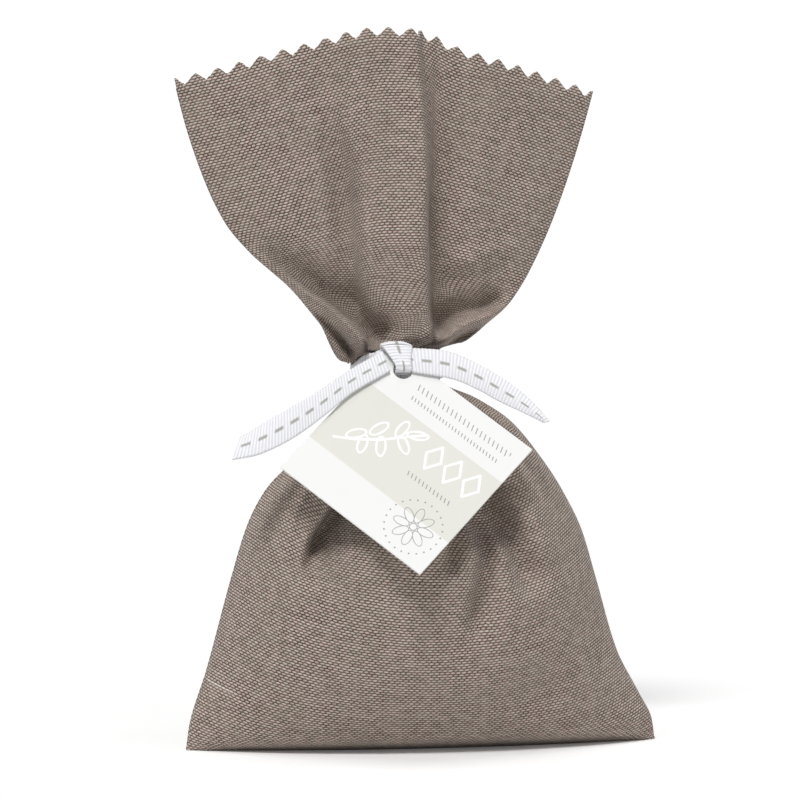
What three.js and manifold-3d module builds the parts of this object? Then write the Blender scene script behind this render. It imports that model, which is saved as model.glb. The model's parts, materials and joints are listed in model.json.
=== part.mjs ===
// Scented sachet: a cloth pouch full of scented granules, gathered at the neck by a ribbon,
// with a card tag on the ribbon's loop. Millimetres, +Z up, the front faces -Y.
// The origin is on the floor under the middle of the base.

import * as THREE from 'three';
import { mergeVertices } from 'three/addons/utils/BufferGeometryUtils.js';
import Module from 'manifold-3d';

const wasm = await Module();
wasm.setup();

// Cloth pouch
const CLOTH_THICKNESS = 0.8;
const BASE_WIDTH = 111;
const FOOT_DEPTH = 11;
const BELLY_HEIGHT = 89.6;
const BELLY_FRONT_DEPTH = 31;
const BELLY_BACK_DEPTH = 29;
const NECK_WIDTH = 20;
const NECK_DEPTH = 15;
const NECK_OFFSET = -6.2;
const NECK_HEIGHT = 7;
const FLARE_HEIGHT = 76.6;
const FLARE_LEFT = 60.5;
const FLARE_RIGHT = 43.5;
const FLARE_DEPTH = 6.5;
const FOLD_DEPTH = 5;
const CREASE_DEPTH = 5;
const CREASE_FADE = 8;
const BACK_TOP_DROP = 2.2;
const GATHER_DEPTH = 1.3;
const GATHER_COUNT = 8;
const PINKING_DEPTH = 2;
const PINKING_TEETH = 22;

// Seams and the filling
const SEAM_THICKNESS = 1.2;
const SEAM_ALLOWANCE = 5;
const BASE_SEAM_ALLOWANCE = 2.4;
const BASE_SEAM_BOW = 5;
const INNER_BAG_THICKNESS = 0.4;
const INNER_BAG_HEIGHT = 77;
const INNER_MOUTH_SHARE = 0.45;
const CLEARANCE = 0.3;
const SOFT_CLEARANCE = 0.6;

// Ribbon
const RIBBON_WIDTH = 6.35;
const RIBBON_THICKNESS = 0.5;
const BAND_THICKNESS = 0.6;
const LOOP_THICKNESS = 0.7;
const LOOP_TOP_WIDTH = 6.7;
const LOOP_HOLE_WIDTH = 3.7;
const LOOP_LEAN = -1.5;
const KNOT_WIDTH = 8.6;
const KNOT_HEIGHT = 5.6;
const KNOT_CORNER = 1.6;
const LEFT_TAIL_LENGTH = 40;
const RIGHT_TAIL_LENGTH = 34;
const TAIL_ROOT_REACH = 5.1;
const TAIL_ROOT_RISE = 1.5;
const TAIL_TIP_SLANT = 2.2;

// Card tag
const TAG_SIDE = 40.5;
const TAG_THICKNESS = 0.5;
const TAG_HOLE_RADIUS = 2.25;
const TAG_HOLE_FROM_CORNER = 6.4;
const TAG_HOLE_SIDESTEP = 1.5;
const TAG_ROLL_DEG = 4.2;
const TAG_YAW_DEG = -6.5;
const HOLE_SIDESTEP = -1;
const HOLE_DROP = 1.7;
const HOLE_REACH = 5.7;

// Vertices closer than this are one vertex
const MERGE_TOLERANCE = 1e-4;

const LINEN = 0x80746c;
const WHITE = 0xf2f1ee;
const PAPER_WHITE = 0xf7f7f5;
const FLEECE = 0xe9e6df;
const GRANULE = 0xb89a72;

const HALF_BASE = BASE_WIDTH / 2;
const HALF_SEAM = SEAM_THICKNESS / 2 + CLEARANCE;
const NECK_LEFT = NECK_WIDTH / 2 - NECK_OFFSET;
const NECK_RIGHT = NECK_WIDTH / 2 + NECK_OFFSET;
const NECK_LOW = BELLY_HEIGHT - NECK_HEIGHT / 2;
const NECK_HIGH = BELLY_HEIGHT + NECK_HEIGHT / 2;
const TOP_HEIGHT = BELLY_HEIGHT + FLARE_HEIGHT;
const CORNER_FOOT = CLOTH_THICKNESS;

// Outlines of the pouch, bottom to top. A belly point is a share of the belly's height and of half
// the base's width. A flare point is a share of the flare's height and of its spread on that side.
const LEFT_BELLY_SHARES = [
  [0, 1], [0.066, 0.985], [0.204, 0.915], [0.448, 0.807], [0.58, 0.74], [0.667, 0.665],
  [0.733, 0.562], [0.799, 0.435], [0.865, 0.335],
];
const LEFT_FLARE_SHARES = [
  [0.07, 0.352], [0.114, 0.4], [0.217, 0.51], [0.329, 0.67], [0.413, 0.76], [0.54, 0.84],
  [0.726, 0.92], [1, 1],
];
const RIGHT_BELLY_SHARES = [
  [0, 1], [0.056, 0.987], [0.122, 0.933], [0.239, 0.834], [0.433, 0.74], [0.56, 0.677],
  [0.672, 0.584], [0.748, 0.5], [0.845, 0.367], [0.911, 0.22],
];
const RIGHT_FLARE_SHARES = [
  [0.07, 0.235], [0.114, 0.35], [0.182, 0.48], [0.329, 0.63], [0.54, 0.78], [0.804, 0.92], [1, 1],
];

// Depth of the pouch's wall in front of or behind the seams, as shares of the belly's height and depth
const BELLY_DEPTH_SHARES = [
  [0.02, 0.46], [0.061, 0.58], [0.122, 0.7], [0.224, 0.85], [0.366, 0.97], [0.489, 1], [0.611, 0.97],
  [0.692, 0.9], [0.753, 0.82], [0.814, 0.7], [0.886, 0.5],
];

// The pinked top edge, as shares of the way across and of the flare's height
const TOP_EDGE_SHARES = [
  [-1, 0.848], [-0.75, 0.887], [-0.4, 0.951], [-0.05, 1], [0.12, 0.995], [0.3, 0.946], [0.65, 0.883],
  [1, 0.819],
];

// Heights where the cloth changes form, as shares of the belly's height or of the flare's
const SHOULDER_SHARE = 0.6;
const CORNER_END_SHARE = 0.06;
const GATHER_START_SHARE = 0.55;
const GATHER_FULL_SHARE = 0.82;
const PACKED_START_SHARE = 0.85;
const FAN_FULL_SHARE = 0.25;
const FOLD_FULL_SHARE = 0.4;
const GATHER_END_SHARE = 0.5;

// Powers of the width and of the depth that make the belly's and the fan's sections blunt
const BELLY_POWERS = [2.1, 0.7];
const FAN_POWERS = [2.4, 0.8];

// The flare's folds: the feet of the middle one as shares of the neck's width, the drop of its crown
// over that width, and the wings and back waves as shares of the fold's depth and of the way across
const LEFT_FOOT_SHARES = [-0.75, -0.35];
const RIGHT_FOOT_SHARES = [0.3, 0.46];
const FOLD_LEAN_SHARE = 0.08;
const CROWN_DROP_SHARE = 0.6;
const WING_DEPTH_SHARE = 0.35;
const WING_REACH_SHARE = 0.8;
const BACK_DEPTH_SHARE = 0.4;
const BACK_WAVES = 3;
const BACK_WAVE_SHIFT = 0.6;

// Creases and ridges of the cloth. Each has its rise as a share of the crease's depth, its reach to
// the left and right as shares of half the base's width, and a line from the bottom up. A line holds
// shares of half the base's width, and of the belly's height or of the flare's height over the belly.
const FRONT_BELLY_CREASES = [
  { rise: -0.9, left: 0.05, right: 0.08,
    line: [[-0.575, 0.4], [-0.56, 0.48], [-0.52, 0.555], [-0.475, 0.6], [-0.385, 0.68], [-0.26, 0.8]] },
  { rise: -0.6, left: 0.036, right: 0.043,
    line: [[-0.015, 0.45], [-0.005, 0.55], [0.01, 0.6], [-0.03, 0.69], [-0.08, 0.83]] },
  { rise: -1, left: 0.054, right: 0.061,
    line: [[0.09, 0.26], [0.115, 0.36], [0.145, 0.47], [0.12, 0.555], [0.055, 0.635], [-0.07, 0.86]] },
  { rise: -0.88, left: 0.05, right: 0.076,
    line: [[0.34, 0.4], [0.305, 0.477], [0.25, 0.54], [0.18, 0.615], [0.09, 0.715], [-0.02, 0.86]] },
  { rise: 0.3, left: 0.06, right: 0.09,
    line: [[0.38, 0.36], [0.38, 0.51], [0.33, 0.62], [0.18, 0.76]] },
];
const BACK_BELLY_CREASES = [
  { rise: -0.88, left: 0.058, right: 0.065, line: [[-0.54, 0.42], [-0.47, 0.56], [-0.32, 0.7], [-0.22, 0.85]] },
  { rise: -0.72, left: 0.05, right: 0.054, line: [[-0.25, 0.49], [-0.23, 0.63], [-0.18, 0.76], [-0.14, 0.88]] },
  { rise: -0.96, left: 0.058, right: 0.054, line: [[0.07, 0.4], [0.05, 0.54], [0, 0.69], [-0.05, 0.86]] },
  { rise: -0.84, left: 0.058, right: 0.068, line: [[0.45, 0.47], [0.36, 0.6], [0.22, 0.74], [0.05, 0.87]] },
];
const FRONT_FLARE_CREASES = [
  { rise: 0.5, left: 0.05, right: 0.05,
    line: [[-0.256, 0.03], [-0.33, 0.103], [-0.395, 0.148], [-0.468, 0.188], [-0.557, 0.238], [-0.68, 0.305]] },
  { rise: 0.4, left: 0.036, right: 0.036,
    line: [[0.01, 0.04], [0.083, 0.084], [0.142, 0.112], [0.241, 0.131], [0.344, 0.158], [0.41, 0.214]] },
];
const BACK_FLARE_CREASES = [
  { rise: -0.52, left: 0.061, right: 0.076, line: [[-0.25, 0.08], [-0.36, 0.24], [-0.52, 0.45], [-0.65, 0.68]] },
  { rise: -0.6, left: 0.058, right: 0.065, line: [[-0.11, 0.08], [-0.11, 0.29], [-0.14, 0.55], [-0.16, 0.79]] },
  { rise: -0.56, left: 0.061, right: 0.065, line: [[0.036, 0.08], [0.126, 0.24], [0.234, 0.45], [0.324, 0.66]] },
];
const CREASE_ROOM_SHARES = [0.18, 0.4];

// Smooth curve through points, sorted by their first value
function curveThrough(points) {
  const x = points.map((point) => point[0]);
  const y = points.map((point) => point[1]);
  const last = x.length - 1;
  const slope = [];
  for (let i = 0; i < last; i += 1) {
    slope.push((y[i + 1] - y[i]) / (x[i + 1] - x[i]));
  }
  const tangent = [slope[0]];
  for (let i = 1; i < last; i += 1) {
    const product = slope[i - 1] * slope[i];
    tangent.push(product > 0 ? (2 * product) / (slope[i - 1] + slope[i]) : 0);
  }
  tangent.push(slope[last - 1]);
  return (at) => {
    if (at <= x[0]) {
      return y[0];
    }
    if (at >= x[last]) {
      return y[last];
    }
    let i = 0;
    while (at > x[i + 1]) {
      i += 1;
    }
    const span = x[i + 1] - x[i];
    const t = (at - x[i]) / span;
    const rise = t * t * (3 - 2 * t);
    const start = t * (1 - t) * (1 - t) * tangent[i] * span;
    const end = t * t * (t - 1) * tangent[i + 1] * span;
    return y[i] + (y[i + 1] - y[i]) * rise + start + end;
  };
}

function smoothStep(low, high, value) {
  const t = Math.min(Math.max((value - low) / (high - low), 0), 1);
  return t * t * (3 - 2 * t);
}

function mix(a, b, share) {
  return a + (b - a) * share;
}

// Half width of the pouch on one side, from the floor to the top edge
function outline(bellyShares, flareShares, neckReach, flareReach) {
  const belly = bellyShares.map(([height, width]) => [height * BELLY_HEIGHT, width * HALF_BASE]);
  const flare = flareShares.map(([height, width]) => [
    BELLY_HEIGHT + height * FLARE_HEIGHT, width * flareReach,
  ]);
  return curveThrough([...belly, [NECK_LOW, neckReach], [NECK_HIGH, neckReach], ...flare]);
}

const leftReach = outline(LEFT_BELLY_SHARES, LEFT_FLARE_SHARES, NECK_LEFT, FLARE_LEFT);
const rightReach = outline(RIGHT_BELLY_SHARES, RIGHT_FLARE_SHARES, NECK_RIGHT, FLARE_RIGHT);
const topEdge = curveThrough(TOP_EDGE_SHARES);

function wallDepth(bellyDepth) {
  const belly = BELLY_DEPTH_SHARES.map(([height, depth]) => [height * BELLY_HEIGHT, depth * bellyDepth]);
  const neck = NECK_DEPTH / 2;
  return curveThrough([
    [0, FOOT_DEPTH], ...belly, [NECK_LOW, neck], [NECK_HIGH, neck],
    [BELLY_HEIGHT + FAN_FULL_SHARE * FLARE_HEIGHT, FLARE_DEPTH], [TOP_HEIGHT, FLARE_DEPTH],
  ]);
}

const frontDepth = wallDepth(BELLY_FRONT_DEPTH);
const backDepth = wallDepth(BELLY_BACK_DEPTH);

function bluntSection(across, [widthPower, depthPower]) {
  return (1 - Math.abs(across) ** widthPower) ** depthPower;
}

// Rise from the neck's top up to the place where the section has opened into a fan
function fanShare(height) {
  return smoothStep(NECK_HIGH, NECK_HIGH + FAN_FULL_SHARE * FLARE_HEIGHT, height);
}

// How deep the section is: a rounded lens across the belly, an ellipse at the neck, a flat fan above
function lens(across, height) {
  const belly = bluntSection(across, BELLY_POWERS);
  const neck = Math.sqrt(1 - across * across);
  const fan = bluntSection(across, FAN_POWERS);
  const nearNeck = smoothStep(SHOULDER_SHARE * BELLY_HEIGHT, NECK_LOW, height);
  return mix(mix(belly, neck, nearNeck), fan, fanShare(height));
}

// Small gathers that run out of the neck, down over the shoulder and up into the flare
function gathers(column, height) {
  const below = smoothStep(GATHER_START_SHARE * BELLY_HEIGHT, GATHER_FULL_SHARE * BELLY_HEIGHT, height);
  const atNeck = 1 - smoothStep(NECK_LOW - NECK_HEIGHT / 2, NECK_LOW, height);
  const above = smoothStep(NECK_HIGH, NECK_HIGH + NECK_HEIGHT, height);
  const end = BELLY_HEIGHT + GATHER_END_SHARE * FLARE_HEIGHT;
  const faded = 1 - smoothStep(NECK_HIGH + NECK_HEIGHT, end, height);
  const strength = below * atNeck + above * faded;
  return GATHER_DEPTH * strength * Math.cos(GATHER_COUNT * Math.PI * column) * (1 - column ** 4);
}

function foldStrength(height) {
  return smoothStep(NECK_HIGH, BELLY_HEIGHT + FOLD_FULL_SHARE * FLARE_HEIGHT, height);
}

// The flare's front: a round middle fold with a sharp right edge, between two bowed wings
function frontFolds(x, across, height) {
  const lean = FOLD_LEAN_SHARE * Math.max(height - NECK_HIGH, 0);
  const middle = (x - NECK_OFFSET + lean) / NECK_WIDTH;
  const leftFoot = smoothStep(...LEFT_FOOT_SHARES, middle);
  const rightFoot = 1 - smoothStep(...RIGHT_FOOT_SHARES, middle);
  const column = leftFoot * rightFoot * (1 - CROWN_DROP_SHARE * middle * middle);
  const wingAt = Math.min(Math.abs(across) / WING_REACH_SHARE, 1);
  const wing = WING_DEPTH_SHARE * Math.sin(Math.PI * wingAt) ** 2;
  return FOLD_DEPTH * foldStrength(height) * (column + wing) * (1 - across ** 6);
}

// The flare's back: three shallow waves
function backFolds(across, height) {
  const wave = 1 + Math.cos(BACK_WAVES * Math.PI * across + BACK_WAVE_SHIFT);
  return FOLD_DEPTH * BACK_DEPTH_SHARE * foldStrength(height) * wave * (1 - across ** 4);
}

function creaseLines(creases, low, height) {
  return creases.map(({ rise, left, right, line }) => ({
    rise: rise * CREASE_DEPTH,
    left: left * HALF_BASE,
    right: right * HALF_BASE,
    line: line.map(([across, up]) => new THREE.Vector2(across * HALF_BASE, low + up * height)),
  }));
}

const FRONT_CREASES = [
  ...creaseLines(FRONT_BELLY_CREASES, 0, BELLY_HEIGHT),
  ...creaseLines(FRONT_FLARE_CREASES, BELLY_HEIGHT, FLARE_HEIGHT),
];
const BACK_CREASES = [
  ...creaseLines(BACK_BELLY_CREASES, 0, BELLY_HEIGHT),
  ...creaseLines(BACK_FLARE_CREASES, BELLY_HEIGHT, FLARE_HEIGHT),
];

// How far one crease moves the cloth at a place: most on its line, and nothing at its ends
function creaseAt({ rise, left, right, line }, x, height) {
  const place = new THREE.Vector2(x, height);
  let best = Infinity;
  let reach = left;
  let along = 0;
  let length = 0;
  for (let i = 1; i < line.length; i += 1) {
    const run = line[i].clone().sub(line[i - 1]);
    const off = place.clone().sub(line[i - 1]);
    const share = Math.min(Math.max(off.dot(run) / run.lengthSq(), 0), 1);
    const gap = off.clone().addScaledVector(run, -share).length();
    if (gap < best) {
      best = gap;
      reach = run.cross(off) > 0 ? left : right;
      along = length + share * run.length();
    }
    length += run.length();
  }
  const ends = smoothStep(0, CREASE_FADE, along) * smoothStep(0, CREASE_FADE, length - along);
  return rise * ends * Math.exp(-((best / reach) ** 2));
}

function creases(side, x, height) {
  const all = side < 0 ? FRONT_CREASES : BACK_CREASES;
  return all.reduce((sum, crease) => sum + creaseAt(crease, x, height), 0);
}

// Columns crowd towards the seams where the section is round, and are even at the pinked edge
function acrossAt(column, height) {
  const even = smoothStep(NECK_HIGH, BELLY_HEIGHT + GATHER_END_SHARE * FLARE_HEIGHT, height);
  return mix(Math.sin((column * Math.PI) / 2), column, even);
}

// The base seam bows back between the two side seams
function seamBow(across) {
  const end = 1 - (SEAM_ALLOWANCE + CLEARANCE) / HALF_BASE;
  const share = Math.min(Math.abs(across) / end, 1);
  return BASE_SEAM_BOW * (1 - share * share) ** 2;
}

// Point on the outside of a panel. side is -1 for the front and +1 for the back.
function wallPoint(side, column, height) {
  const across = acrossAt(column, height);
  const left = -leftReach(height);
  const right = rightReach(height);
  const x = mix(left, right, (across + 1) / 2);
  const depthAt = side < 0 ? frontDepth : backDepth;
  const edge = HALF_SEAM + CLOTH_THICKNESS * fanShare(height);
  let depth = edge + (depthAt(height) - edge) * lens(across, height);
  depth += gathers(column, height);
  depth += side < 0 ? frontFolds(x, across, height) : backFolds(across, height);
  depth += creases(side, x, height) * (1 - across ** 6);
  return new THREE.Vector3(x, side * Math.max(depth, edge), height);
}

// Heights of the panel's rows between the floor and the neck, and shares of the way to the top edge
const BELLY_ROW_SHARES = [
  0, 0.02, 0.055, 0.1, 0.16, 0.23, 0.29, 0.34, 0.39, 0.435, 0.48, 0.525, 0.57, 0.615, 0.66, 0.705,
  0.75, 0.795, 0.84, 0.885, 0.94, 1,
];
const FLARE_ROW_SHARES = [
  0, 0.035, 0.07, 0.11, 0.155, 0.205, 0.26, 0.33, 0.42, 0.53, 0.65, 0.77, 0.89, 1,
];
const FOOT_ROW_SHARES = [0, 0.5];
const COLUMNS = PINKING_TEETH * 2;

// Height of a place in the flare, from the neck's top to the pinked edge
function flareHeightAt(column, share) {
  return mix(NECK_HIGH, BELLY_HEIGHT + topEdge(column) * FLARE_HEIGHT, share);
}

// Rows of points over the outside of one panel, from the base seam to the pinked edge
function panelRows(side) {
  const rows = [];
  for (const share of FOOT_ROW_SHARES) {
    const row = [];
    for (let i = 0; i <= COLUMNS; i += 1) {
      const edge = wallPoint(side, (2 * i) / COLUMNS - 1, 0);
      const seam = seamBow(acrossAt((2 * i) / COLUMNS - 1, 0)) + side * HALF_SEAM;
      const foot = edge.y + side * CORNER_FOOT;
      row.push(new THREE.Vector3(edge.x, mix(seam, foot, share), 0));
    }
    rows.push(row);
  }
  for (const share of BELLY_ROW_SHARES) {
    const row = [];
    for (let i = 0; i <= COLUMNS; i += 1) {
      const point = wallPoint(side, (2 * i) / COLUMNS - 1, share * NECK_LOW);
      const corner = 1 - smoothStep(0, CORNER_END_SHARE * BELLY_HEIGHT, point.z);
      point.y += side * CORNER_FOOT * corner;
      row.push(point);
    }
    rows.push(row);
  }
  for (const share of FLARE_ROW_SHARES) {
    const row = [];
    for (let i = 0; i <= COLUMNS; i += 1) {
      const column = (2 * i) / COLUMNS - 1;
      const notch = share === 1 && i % 2 === 0 ? PINKING_DEPTH : 0;
      const drop = side < 0 ? 0 : share * BACK_TOP_DROP;
      const height = flareHeightAt(column, share) - notch - drop;
      row.push(wallPoint(side, column, height));
    }
    rows.push(row);
  }
  return rows;
}

function rowNormals(rows, side) {
  const last = rows.length - 1;
  const normals = [];
  for (let j = 0; j <= last; j += 1) {
    const line = [];
    const width = rows[j].length - 1;
    for (let i = 0; i <= width; i += 1) {
      const along = rows[j][Math.min(i + 1, width)].clone().sub(rows[j][Math.max(i - 1, 0)]);
      const up = rows[Math.min(j + 1, last)][i].clone().sub(rows[Math.max(j - 1, 0)][i]);
      line.push(along.cross(up).normalize().multiplyScalar(-side));
    }
    normals.push(line);
  }
  return normals;
}

// The inside of the cloth. At the neck the gathered cloth fills the space up to the seam.
function innerRows(rows, side) {
  const normals = rowNormals(rows, side);
  return rows.map((row, j) =>
    row.map((point, i) => {
      const inner = point.clone().addScaledVector(normals[j][i], -CLOTH_THICKNESS);
      const rising = smoothStep(PACKED_START_SHARE * BELLY_HEIGHT, NECK_LOW, point.z);
      const packed = rising * (1 - smoothStep(NECK_HIGH, NECK_HIGH + NECK_HEIGHT, point.z));
      if (point.z > CLOTH_THICKNESS) {
        const depth = mix(side * inner.y, HALF_SEAM, packed);
        inner.y = side * Math.max(depth, HALF_SEAM);
      }
      inner.z = Math.max(inner.z, CLOTH_THICKNESS);
      return inner;
    }),
  );
}

// Geometry from numbered vertices and triangles
function solidGeometry(vertices, triangles) {
  const geometry = new THREE.BufferGeometry();
  const numbers = vertices.flatMap((vertex) => [vertex.x, vertex.y, vertex.z]);
  geometry.setAttribute('position', new THREE.Float32BufferAttribute(numbers, 3));
  geometry.setIndex(triangles.flat());
  const merged = mergeVertices(geometry, MERGE_TOLERANCE);
  merged.computeVertexNormals();
  return merged;
}

// A closed sheet between an outer and an inner net of points
function sheetGeometry(outer, inner, flipped) {
  const width = outer[0].length;
  const height = outer.length;
  const vertices = [...outer.flat(), ...inner.flat()];
  const offset = width * height;
  const triangles = [];
  const quad = (a, b, c, d) => {
    triangles.push(flipped ? [a, c, b] : [a, b, c]);
    triangles.push(flipped ? [a, d, c] : [a, c, d]);
  };
  for (let j = 0; j < height - 1; j += 1) {
    for (let i = 0; i < width - 1; i += 1) {
      const a = j * width + i;
      quad(a, a + 1, a + width + 1, a + width);
      quad(offset + a, offset + a + width, offset + a + width + 1, offset + a + 1);
    }
    const left = j * width;
    const right = left + width - 1;
    quad(left, left + width, offset + left + width, offset + left);
    quad(right, offset + right, offset + right + width, right + width);
  }
  const top = (height - 1) * width;
  for (let i = 0; i < width - 1; i += 1) {
    quad(i, offset + i, offset + i + 1, i + 1);
    quad(top + i, top + i + 1, offset + top + i + 1, offset + top + i);
  }
  return solidGeometry(vertices, triangles);
}

// A closed ring or a capped bar through sections that all have the same number of points
function loftGeometry(sections, isRing) {
  const count = sections[0].length;
  const vertices = sections.flat();
  const triangles = [];
  const spans = isRing ? sections.length : sections.length - 1;
  for (let j = 0; j < spans; j += 1) {
    const next = (j + 1) % sections.length;
    for (let i = 0; i < count; i += 1) {
      const k = (i + 1) % count;
      triangles.push([j * count + i, j * count + k, next * count + k]);
      triangles.push([j * count + i, next * count + k, next * count + i]);
    }
  }
  if (!isRing) {
    const last = (sections.length - 1) * count;
    for (let i = 1; i < count - 1; i += 1) {
      triangles.push([0, i + 1, i]);
      triangles.push([last, last + i, last + i + 1]);
    }
  }
  return solidGeometry(vertices, triangles);
}

function solidFrom(geometry) {
  const bare = geometry.clone();
  bare.deleteAttribute('normal');
  bare.deleteAttribute('uv');
  const merged = mergeVertices(bare, MERGE_TOLERANCE);
  const mesh = new wasm.Mesh({
    numProp: 3,
    vertProperties: new Float32Array(merged.attributes.position.array),
    triVerts: new Uint32Array(merged.index.array),
  });
  return new wasm.Manifold(mesh);
}

function geometryFrom(solid) {
  const mesh = solid.getMesh();
  const geometry = new THREE.BufferGeometry();
  geometry.setAttribute('position', new THREE.BufferAttribute(mesh.vertProperties, 3));
  geometry.setIndex(new THREE.BufferAttribute(mesh.triVerts, 1));
  geometry.computeVertexNormals();
  return geometry;
}

function finish(color, roughness) {
  return new THREE.MeshStandardMaterial({ color, roughness, metalness: 0 });
}

function named(name, geometry, material) {
  const mesh = new THREE.Mesh(geometry, material);
  mesh.name = name;
  return mesh;
}

// Front and back panels of the pouch
function clothPanel(name, side) {
  const outer = panelRows(side);
  const inner = innerRows(outer, side);
  return named(name, sheetGeometry(outer, inner, side > 0), finish(LINEN, 0.95));
}

// Seam allowances, bound together with thread, that run up inside each side of the pouch
function sideSeam(name, side) {
  const heights = BELLY_ROW_SHARES.map((share) => share * NECK_LOW);
  for (const share of FLARE_ROW_SHARES) {
    heights.push(flareHeightAt(side, share) - share * (BACK_TOP_DROP + PINKING_DEPTH));
  }
  const half = SEAM_THICKNESS / 2;
  const sections = heights.map((height) => {
    const reach = side < 0 ? leftReach(height) : rightReach(height);
    const outer = side * (reach - CLEARANCE);
    const inner = outer - side * SEAM_ALLOWANCE;
    const ring = [
      new THREE.Vector3(outer, -half, height),
      new THREE.Vector3(outer, half, height),
      new THREE.Vector3(inner, half, height),
      new THREE.Vector3(inner, -half, height),
    ];
    return side < 0 ? ring.reverse() : ring;
  });
  return named(name, loftGeometry(sections, false), finish(LINEN, 0.95));
}

// The base seam lies between the two side seams and bows towards the back
function baseSeam() {
  const half = SEAM_THICKNESS / 2;
  const reach = HALF_BASE - SEAM_ALLOWANCE - 3 * CLEARANCE;
  const steps = COLUMNS / 2;
  const sections = [];
  for (let i = 0; i <= steps; i += 1) {
    const x = reach * ((2 * i) / steps - 1);
    const middle = seamBow(x / HALF_BASE);
    sections.push([
      new THREE.Vector3(x, middle - half, 0),
      new THREE.Vector3(x, middle + half, 0),
      new THREE.Vector3(x, middle + half, BASE_SEAM_ALLOWANCE),
      new THREE.Vector3(x, middle - half, BASE_SEAM_ALLOWANCE),
    ]);
  }
  return named('base_seam', loftGeometry(sections, false), finish(LINEN, 0.95));
}

// The inner bag's round floor and drawn-in mouth, as shares of its section and of its height
const INNER_FLOOR_SHARE = 0.86;
const INNER_ROUND_SHARE = 0.17;
const INNER_SHOULDER_SHARE = 0.7;
const INNER_POINTS = 28;
const INNER_FLOOR = BASE_SEAM_ALLOWANCE + CLEARANCE;

// Round section inside the pouch, at some distance within the inner bag's outside
function innerSection(height, inset) {
  const rise = (height - INNER_FLOOR) / (INNER_BAG_HEIGHT - INNER_FLOOR);
  const floor = mix(INNER_FLOOR_SHARE, 1, Math.min(rise / INNER_ROUND_SHARE, 1));
  const shrink = floor * mix(1, INNER_MOUTH_SHARE, smoothStep(INNER_SHOULDER_SHARE, 1, rise));
  const seamRoom = CLOTH_THICKNESS + SEAM_ALLOWANCE + CLEARANCE;
  const left = leftReach(height) - seamRoom;
  const right = rightReach(height) - seamRoom;
  const half = ((left + right) / 2) * shrink - inset;
  const room = CREASE_DEPTH * smoothStep(...CREASE_ROOM_SHARES, height / BELLY_HEIGHT);
  const ring = [];
  for (let i = 0; i < INNER_POINTS; i += 1) {
    const angle = (2 * Math.PI * i) / INNER_POINTS;
    const side = Math.sin(angle) < 0 ? -1 : 1;
    const wall = (side < 0 ? frontDepth(height) : backDepth(height)) - room;
    const depth = (wall - CLOTH_THICKNESS - SOFT_CLEARANCE) * shrink - inset;
    const x = (right - left) / 2 + half * Math.cos(angle);
    ring.push(new THREE.Vector3(x, side * depth * Math.abs(Math.sin(angle)), height));
  }
  return ring;
}

const INNER_ROW_SHARES = [0, 0.06, 0.15, 0.28, 0.42, 0.56, 0.68, 0.78, 0.87, 0.94, 1];
const FILLED_ROWS = 9;

// Sections of a bag-shaped body, whose floor lies as far in as its sides
function innerSections(inset) {
  return INNER_ROW_SHARES.map((share) => {
    const height = mix(INNER_FLOOR, INNER_BAG_HEIGHT, share);
    return innerSection(Math.max(height, INNER_FLOOR + inset), inset);
  });
}

// The inner bag is open at its tied mouth, so its wall is a cup
function innerBag() {
  const outer = innerSections(0);
  const inner = innerSections(INNER_BAG_THICKNESS);
  const sections = [...outer, ...inner.reverse()];
  return named('inner_bag', loftGeometry(sections, false), finish(FLEECE, 0.9));
}

function scentedFill() {
  const sections = innerSections(INNER_BAG_THICKNESS + SOFT_CLEARANCE).slice(0, FILLED_ROWS);
  return named('scented_fill', loftGeometry(sections, false), finish(GRANULE, 0.9));
}

// The ribbon's turn round the neck
const BAND_STEPS = 40;
function neckBand() {
  const sections = [];
  const low = BELLY_HEIGHT - RIBBON_WIDTH / 2;
  const high = BELLY_HEIGHT + RIBBON_WIDTH / 2;
  for (let i = 0; i < BAND_STEPS; i += 1) {
    const angle = (2 * Math.PI * i) / BAND_STEPS;
    const inner = bandPoint(angle, CLEARANCE);
    const outer = bandPoint(angle, CLEARANCE + BAND_THICKNESS);
    sections.push([
      new THREE.Vector3(inner.x, inner.y, low),
      new THREE.Vector3(outer.x, outer.y, low),
      new THREE.Vector3(outer.x, outer.y, high),
      new THREE.Vector3(inner.x, inner.y, high),
    ]);
  }
  return named('ribbon_neck_band', loftGeometry(sections.reverse(), true), finish(WHITE, 0.7));
}

// A place round the neck, at some distance from the cloth
function bandPoint(angle, offset) {
  const side = Math.sin(angle);
  const flat = Math.abs(side) < 1 / BAND_STEPS ? 0 : Math.sign(side) * HALF_SEAM;
  const x = NECK_OFFSET + (NECK_WIDTH / 2 + offset) * Math.cos(angle);
  const y = flat + (NECK_DEPTH / 2 + offset - HALF_SEAM) * side;
  return { x, y };
}

// The tie hangs in one leaning plane: u runs across it, v up it and n out of its front
const yaw = THREE.MathUtils.degToRad(TAG_YAW_DEG);
const roll = THREE.MathUtils.degToRad(TAG_ROLL_DEG);
const HOLE_X = NECK_OFFSET + HOLE_SIDESTEP;
const HOLE_Y = -(NECK_DEPTH / 2 + BAND_THICKNESS + 2 * CLEARANCE + HOLE_REACH);
const HOLE_Z = BELLY_HEIGHT - HOLE_DROP;
const HALF_DIAGONAL = TAG_SIDE / Math.SQRT2;

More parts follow.
